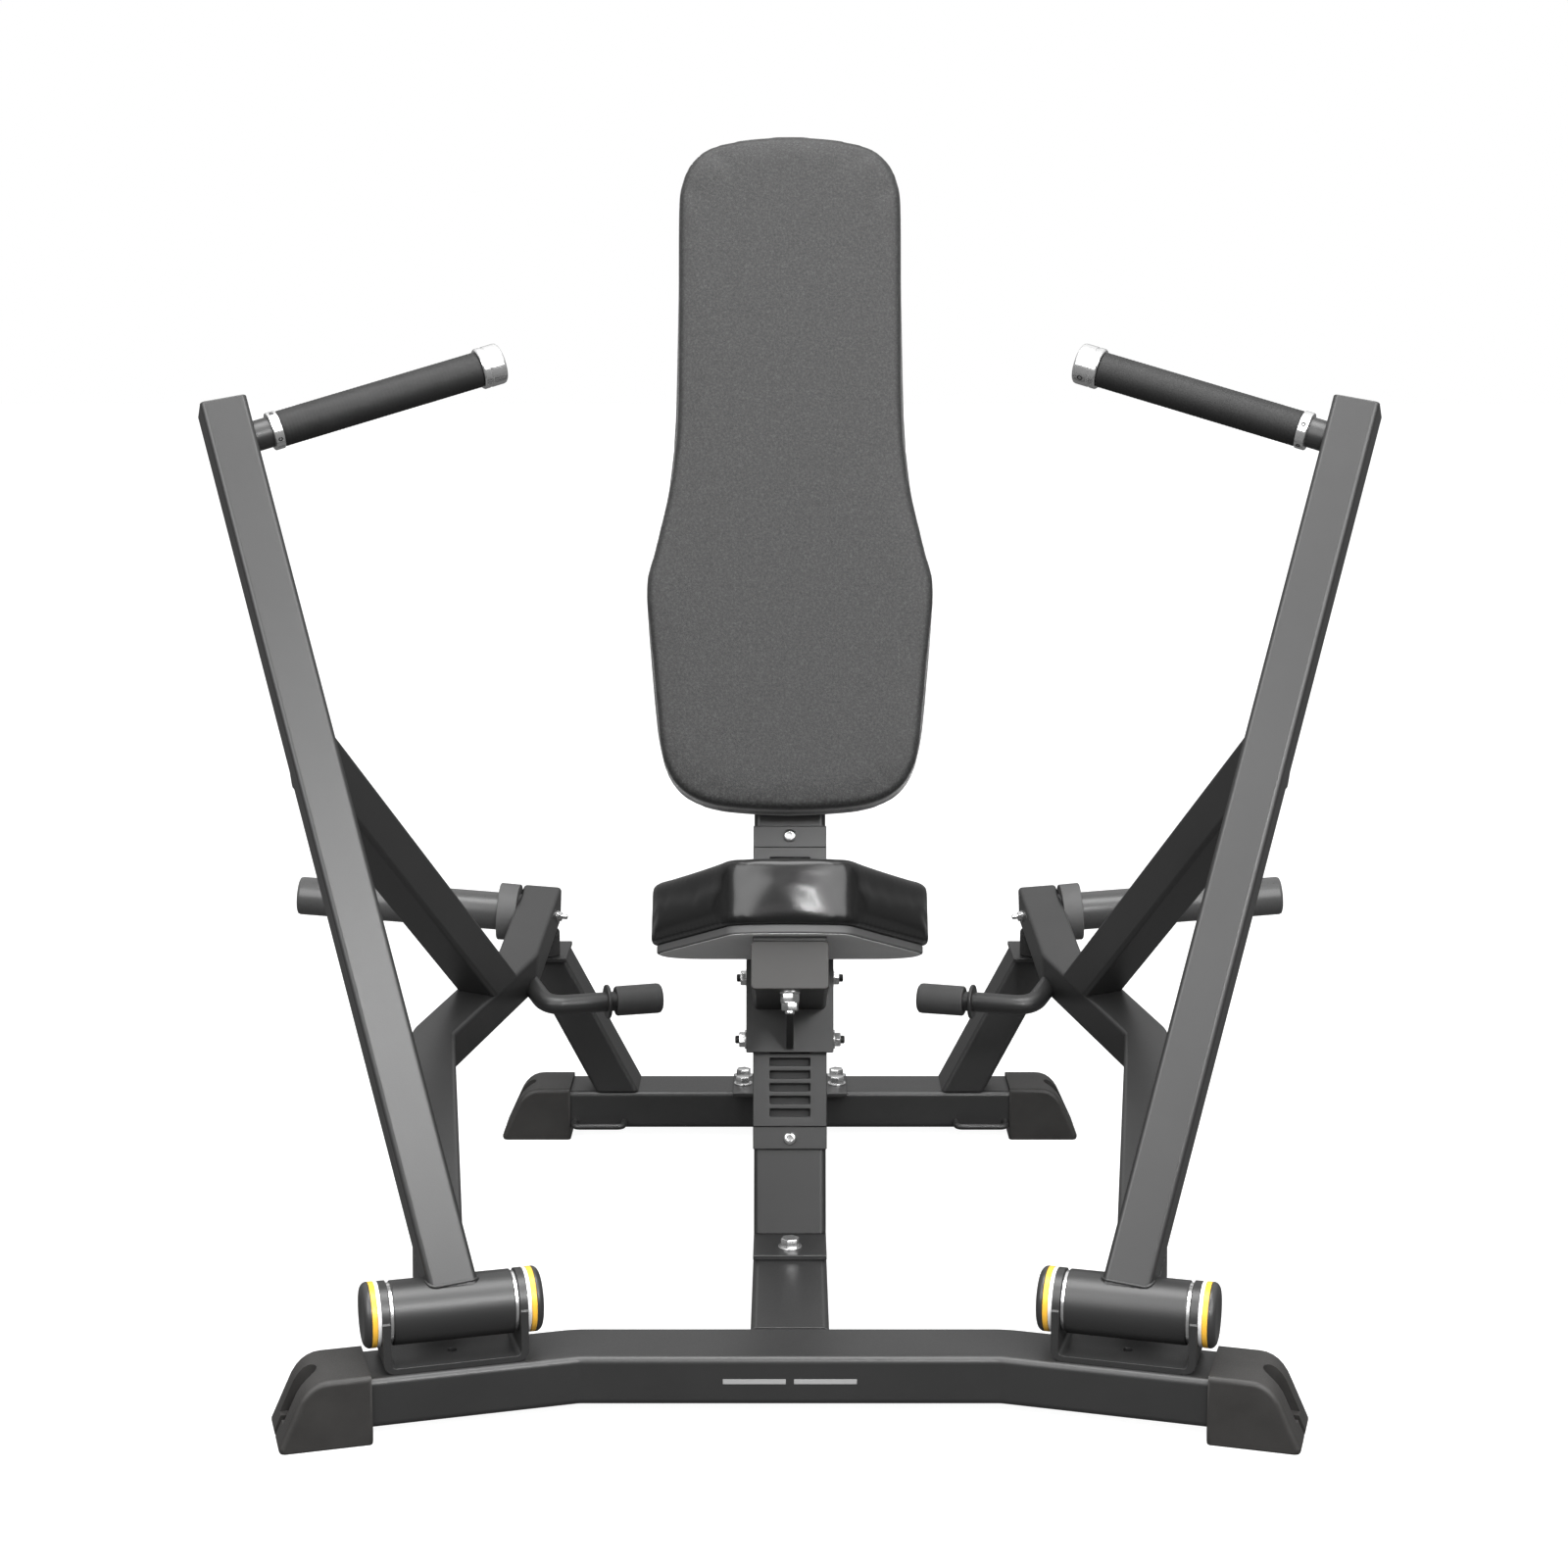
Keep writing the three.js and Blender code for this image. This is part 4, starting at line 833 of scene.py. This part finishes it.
    # stop upright and bumper
    foot_at = V(side * 228, 945 + FRONT_FACE_Y, BASE_TOP)
    head_at = V(side * 321.7, foot_at.y, 245)
    lean = (head_at - foot_at).normalized()
    stop = tube(foot_at - lean * 40, head_at + lean * 40, X, 50, 80, 6)
    cut(stop, V(0, 0, 65.2), Z)
    cut(stop, V(0, 0, 244.6), -Z)
    put(f"{label}_stop_tube", stop, FRAME, "frame", (f"{label}_stop_upright",), 0.6)
    x = side * 321.5
    pad = box_outline(x - 30.5, x + 30.5, 888 + FRONT_FACE_Y, 986 + FRONT_FACE_Y)
    pad = slab(pad, 244.5, 250, Matrix.Identity(4))
    put(f"{label}_stop_plate", pad, FRAME, "frame", bevel=1.0)
    place = Matrix.Translation((side * 321, 912 + FRONT_FACE_Y, 0))
    rubber = turn([(0, 250.1), (20, 250.1), (20, 300), (0, 300)], place, 48)
    cut(rubber, on_link(255, 880, -18.4), -w_rise)
    put(f"{label}_stop_bumper", rubber, RUBBER, "frame", (f"{label}_bumper",), 1.2)


# ------------------------------------------------------------------ cushions


def smooth_outline(points, n=5):
    """A closed Catmull-Rom curve through the points."""
    out = []
    count = len(points)
    for i in range(count):
        p0, p1, p2, p3 = (Vector(points[(i + j) % count]) for j in (-1, 0, 1, 2))
        for k in range(n):
            t = k / n
            square = (2 * p0 - 5 * p1 + 4 * p2 - p3) * t * t
            cube = (3 * p1 - p0 - 3 * p2 + p3) * t ** 3
            out.append(0.5 * (2 * p1 + (p2 - p0) * t + square + cube))
    return [(p.x, p.y) for p in out]


def inset(outline, amount):
    """Moves a closed outline inwards along its own normals."""
    count = len(outline)
    following = outline[1:] + outline[:1]
    area = sum(a[0] * b[1] - b[0] * a[1] for a, b in zip(outline, following))
    s = 1 if area > 0 else -1
    out = []
    for i in range(count):
        a, p, b = Vector(outline[i - 1]), Vector(outline[i]), Vector(outline[(i + 1) % count])
        d = (b - a).normalized()
        out.append((p.x - d.y * amount * s, p.y + d.x * amount * s))
    return out


def cushion(name, outline, low, high, place, crown, body, node, skin_mat):
    """A padded form with a rolled edge that swells a little under cloth pressure."""
    edge, bottom_edge = 8, 3.0
    bm = bmesh.new()
    rings = []
    levels = []
    for i in range(4):
        a = math.pi / 2 * i / 3
        levels.append((bottom_edge * (1 - math.sin(a)), low + bottom_edge * (1 - math.cos(a))))
    for i in range(7):
        a = math.pi / 2 * i / 6
        levels.append((edge * (1 - math.cos(a)), high - edge * (1 - math.sin(a))))
    for amount, z in levels:
        rings.append([bm.verts.new((x, y, z)) for x, y in inset(outline, amount)])
    skin(bm, rings)
    bmesh.ops.recalc_face_normals(bm, faces=bm.faces)
    bmesh.ops.scale(bm, vec=(MM, MM, MM), verts=bm.verts)
    mesh = bpy.data.meshes.new(name)
    bm.to_mesh(mesh)
    bm.free()
    obj = bpy.data.objects.new(name, mesh)
    bpy.context.scene.collection.objects.link(obj)
    bpy.context.view_layer.objects.active = obj
    m = obj.modifiers.new("remesh", "REMESH")
    m.mode = "VOXEL"
    m.voxel_size = 0.005
    dg = bpy.context.evaluated_depsgraph_get()
    shaped = bpy.data.meshes.new_from_object(obj.evaluated_get(dg))
    obj.modifiers.clear()
    obj.data = shaped
    before = [v.co.copy() for v in obj.data.vertices]
    held = obj.vertex_groups.new(name="held")
    floor_z = (low + 12) * MM
    held.add([v.index for v in obj.data.vertices if v.co.z < floor_z], 1.0, "REPLACE")
    cloth = obj.modifiers.new("swell", "CLOTH")
    s = cloth.settings
    s.quality = 5
    s.use_pressure = True
    s.uniform_pressure_force = 4.0
    s.vertex_group_mass = "held"
    s.effector_weights.gravity = 0
    s.tension_stiffness = 15
    s.bending_stiffness = 2
    cloth.collision_settings.use_collision = False
    cloth.point_cache.frame_start, cloth.point_cache.frame_end = 1, 20
    for f in range(1, 21):
        bpy.context.scene.frame_set(f)
    dg = bpy.context.evaluated_depsgraph_get()
    swollen = bpy.data.meshes.new_from_object(obj.evaluated_get(dg))
    obj.modifiers.clear()
    for v, old in zip(swollen.vertices, before):
        d = v.co - old
        if d.length > crown * MM:
            v.co = old + d.normalized() * (crown * MM)
    obj.data = swollen
    bpy.context.scene.frame_set(1)
    smooth = obj.modifiers.new("settle", "SMOOTH")
    smooth.factor = 0.5
    smooth.iterations = 4
    dg = bpy.context.evaluated_depsgraph_get()
    final = bpy.data.meshes.new_from_object(obj.evaluated_get(dg))
    obj.modifiers.clear()
    final.transform(Matrix.Scale(MM, 4) @ place @ Matrix.Scale(1 / MM, 4))
    final.shade_smooth()
    final.materials.clear()
    final.materials.append(skin_mat)
    obj.data = final
    obj.vertex_groups.clear()
    sub = obj.modifiers.new("fine", "SUBSURF")
    sub.levels = sub.render_levels = 1
    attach(obj, body)
    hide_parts(node)
    return obj


def mirrored(half):
    """A closed outline from its right half, listed from the bottom middle to the top middle."""
    return half + [(-x, y) for x, y in reversed(half) if x > 0]


PAD_HALF = [
    (0, 470), (60, 472.5), (98, 480), (124, 496), (139, 520), (145.5, 548), (150.5, 600), (156, 655),
    (160, 692), (161.3, 712), (160, 735), (153, 760), (146, 790), (138, 825), (131.5, 867), (128.4, 912),
    (127.5, 960), (127.5, 1060), (127.5, 1150), (125, 1180), (115, 1206), (97, 1224), (72, 1233),
    (36, 1239), (0, 1240.6),
]
SEAT_HALF = [
    (0, -231), (60, -230.5), (110, -228), (136, -214), (148.5, -194), (152, -172), (148, -156), (139.5, -137),
    (121, -98), (102, -58), (85, -22), (74, 2), (68.5, 12), (60, 19.5), (46, 25), (24, 28.6), (0, 29.6),
]


def build_pads():
    pad = smooth_outline(mirrored(PAD_HALF))
    cushion("back_pad_upholstery", pad, 15.3, 75.5, POST_FRAME, 2.0, "frame", "back_pad_cushion", VINYL)
    refined("back_pad_board", "back_pad_panel", BOARD, "frame", 2.0, 3)
    seat = smooth_outline(mirrored(SEAT_HALF))
    # The seat cover wears the darker vinyl copy, which carries painted shade.
    cushion("seat_upholstery", seat, 14.8, 82.5, SEAT_FRAME, 1.5, "seat", "seat_cushion", SHADED_SEAT_VINYL)
    panel = slab(inset(seat, 7), 5.3, 14, SEAT_FRAME)
    put("seat_panel", panel, BOARD, "seat", ("seat_board",), 1.6, 3)
    # A thin near-white sheet under the seat board: painted light, so the underside reads light grey.
    underside_light_sheet = slab(inset(seat, 9.5), 4.75, 5.25, SEAT_FRAME)
    put("seat_panel_underside_painted_light", underside_light_sheet, PAINTED_UNDERSIDE_LIGHT, "seat", bevel=0.1)


build_base()
build_post()
build_carriage()
for arm_label, arm_side in (("left", -1), ("right", 1)):
    build_arm(arm_label, arm_side)
build_pads()
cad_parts["carriage_roller"].data.materials.clear()
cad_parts["carriage_roller"].data.materials.append(BLACK_PLASTIC)


# ------------------------------------------------------------------ stage

camera = bpy.data.cameras.new("camera")
camera.lens = 60.75
camera.sensor_width = 36
camera.shift_x = -0.00375
camera.clip_end = 60
shot = bpy.data.objects.new("camera", camera)
shot.location = (0, (FRONT_FACE_Y - 2461.9) * MM, 1.0727)
shot.rotation_euler = (math.radians(90 - 10.027), 0, 0)
bpy.context.scene.collection.objects.link(shot)
bpy.context.scene.camera = shot

floor_mesh = bpy.data.meshes.new("floor")
floor_mesh.from_pydata([(-30, -30, 0), (30, -30, 0), (30, 30, 0), (-30, 30, 0)], [], [(0, 1, 2, 3)])
floor = bpy.data.objects.new("floor", floor_mesh)
bpy.context.scene.collection.objects.link(floor)
floor_mat = bpy.data.materials.new("floor_white")
floor_mat.use_nodes = True
floor_shader = floor_mat.node_tree.nodes["Principled BSDF"]
floor_shader.inputs["Base Color"].default_value = (0.25, 0.25, 0.25, 1)
floor_shader.inputs["Roughness"].default_value = 1.0
floor_shader.inputs["Emission Color"].default_value = (1, 1, 1, 1)
floor_shader.inputs["Emission Strength"].default_value = 0.95
floor_mesh.materials.append(floor_mat)
floor.visible_glossy = False
floor.visible_diffuse = False

world = bpy.data.worlds.new("studio")
world.use_nodes = True
wn, wl = world.node_tree.nodes, world.node_tree.links
wn.clear()
out = wn.new("ShaderNodeOutputWorld")
seen, lit = wn.new("ShaderNodeBackground"), wn.new("ShaderNodeBackground")
mix, path = wn.new("ShaderNodeMixShader"), wn.new("ShaderNodeLightPath")
seen.inputs["Color"].default_value = (1, 1, 1, 1)
seen.inputs["Strength"].default_value = 1.0
where, split = wn.new("ShaderNodeTexCoord"), wn.new("ShaderNodeSeparateXYZ")
sky = wn.new("ShaderNodeValToRGB")
wl.new(where.outputs["Generated"], split.inputs["Vector"])
height = wn.new("ShaderNodeMapRange")
height.inputs["From Min"].default_value = -1
wl.new(split.outputs["Z"], height.inputs["Value"])
wl.new(height.outputs["Result"], sky.inputs["Fac"])
stops = ((0.0, 0.2), (0.48, 0.2), (0.52, 0.3), (0.6, 0.4), (0.68, 0.6), (0.78, 1.0), (1.0, 1.1))
while len(sky.color_ramp.elements) < len(stops):
    sky.color_ramp.elements.new(0.5)
for e, (at, v) in zip(sky.color_ramp.elements, stops):
    e.position, e.color = at, (v, v, v, 1)
wl.new(sky.outputs["Color"], lit.inputs["Color"])
lit.inputs["Strength"].default_value = 0.8
wl.new(path.outputs["Is Camera Ray"], mix.inputs["Fac"])
wl.new(lit.outputs["Background"], mix.inputs[1])
wl.new(seen.outputs["Background"], mix.inputs[2])
wl.new(mix.outputs["Shader"], out.inputs["Surface"])
bpy.context.scene.world = world
bpy.context.scene.view_settings.view_transform = "Standard"


def softbox(name, place, aim, size, power):
    light = bpy.data.lights.new(name, "AREA")
    light.shape = "RECTANGLE"
    light.size, light.size_y = size
    light.energy = power
    obj = bpy.data.objects.new(name, light)
    obj.location = place
    obj.rotation_euler = (Vector(aim) - Vector(place)).to_track_quat("-Z", "Y").to_euler()
    obj.visible_camera = False
    bpy.context.scene.collection.objects.link(obj)


softbox("front_left", (-2.1, -2.6, 2.4), (-0.4, -0.2, 0.7), (2.6, 3.0), 112)
softbox("front_right", (2.1, -2.6, 2.4), (0.4, -0.2, 0.7), (2.6, 3.0), 112)
softbox("overhead", (0, -0.6, 3.2), (0, -0.1, 0), (2.6, 1.6), 95)
softbox("seat_side", (0.62, -2.84, 1.8), (0, -0.3, 0.5), (0.16, 0.4), 30)
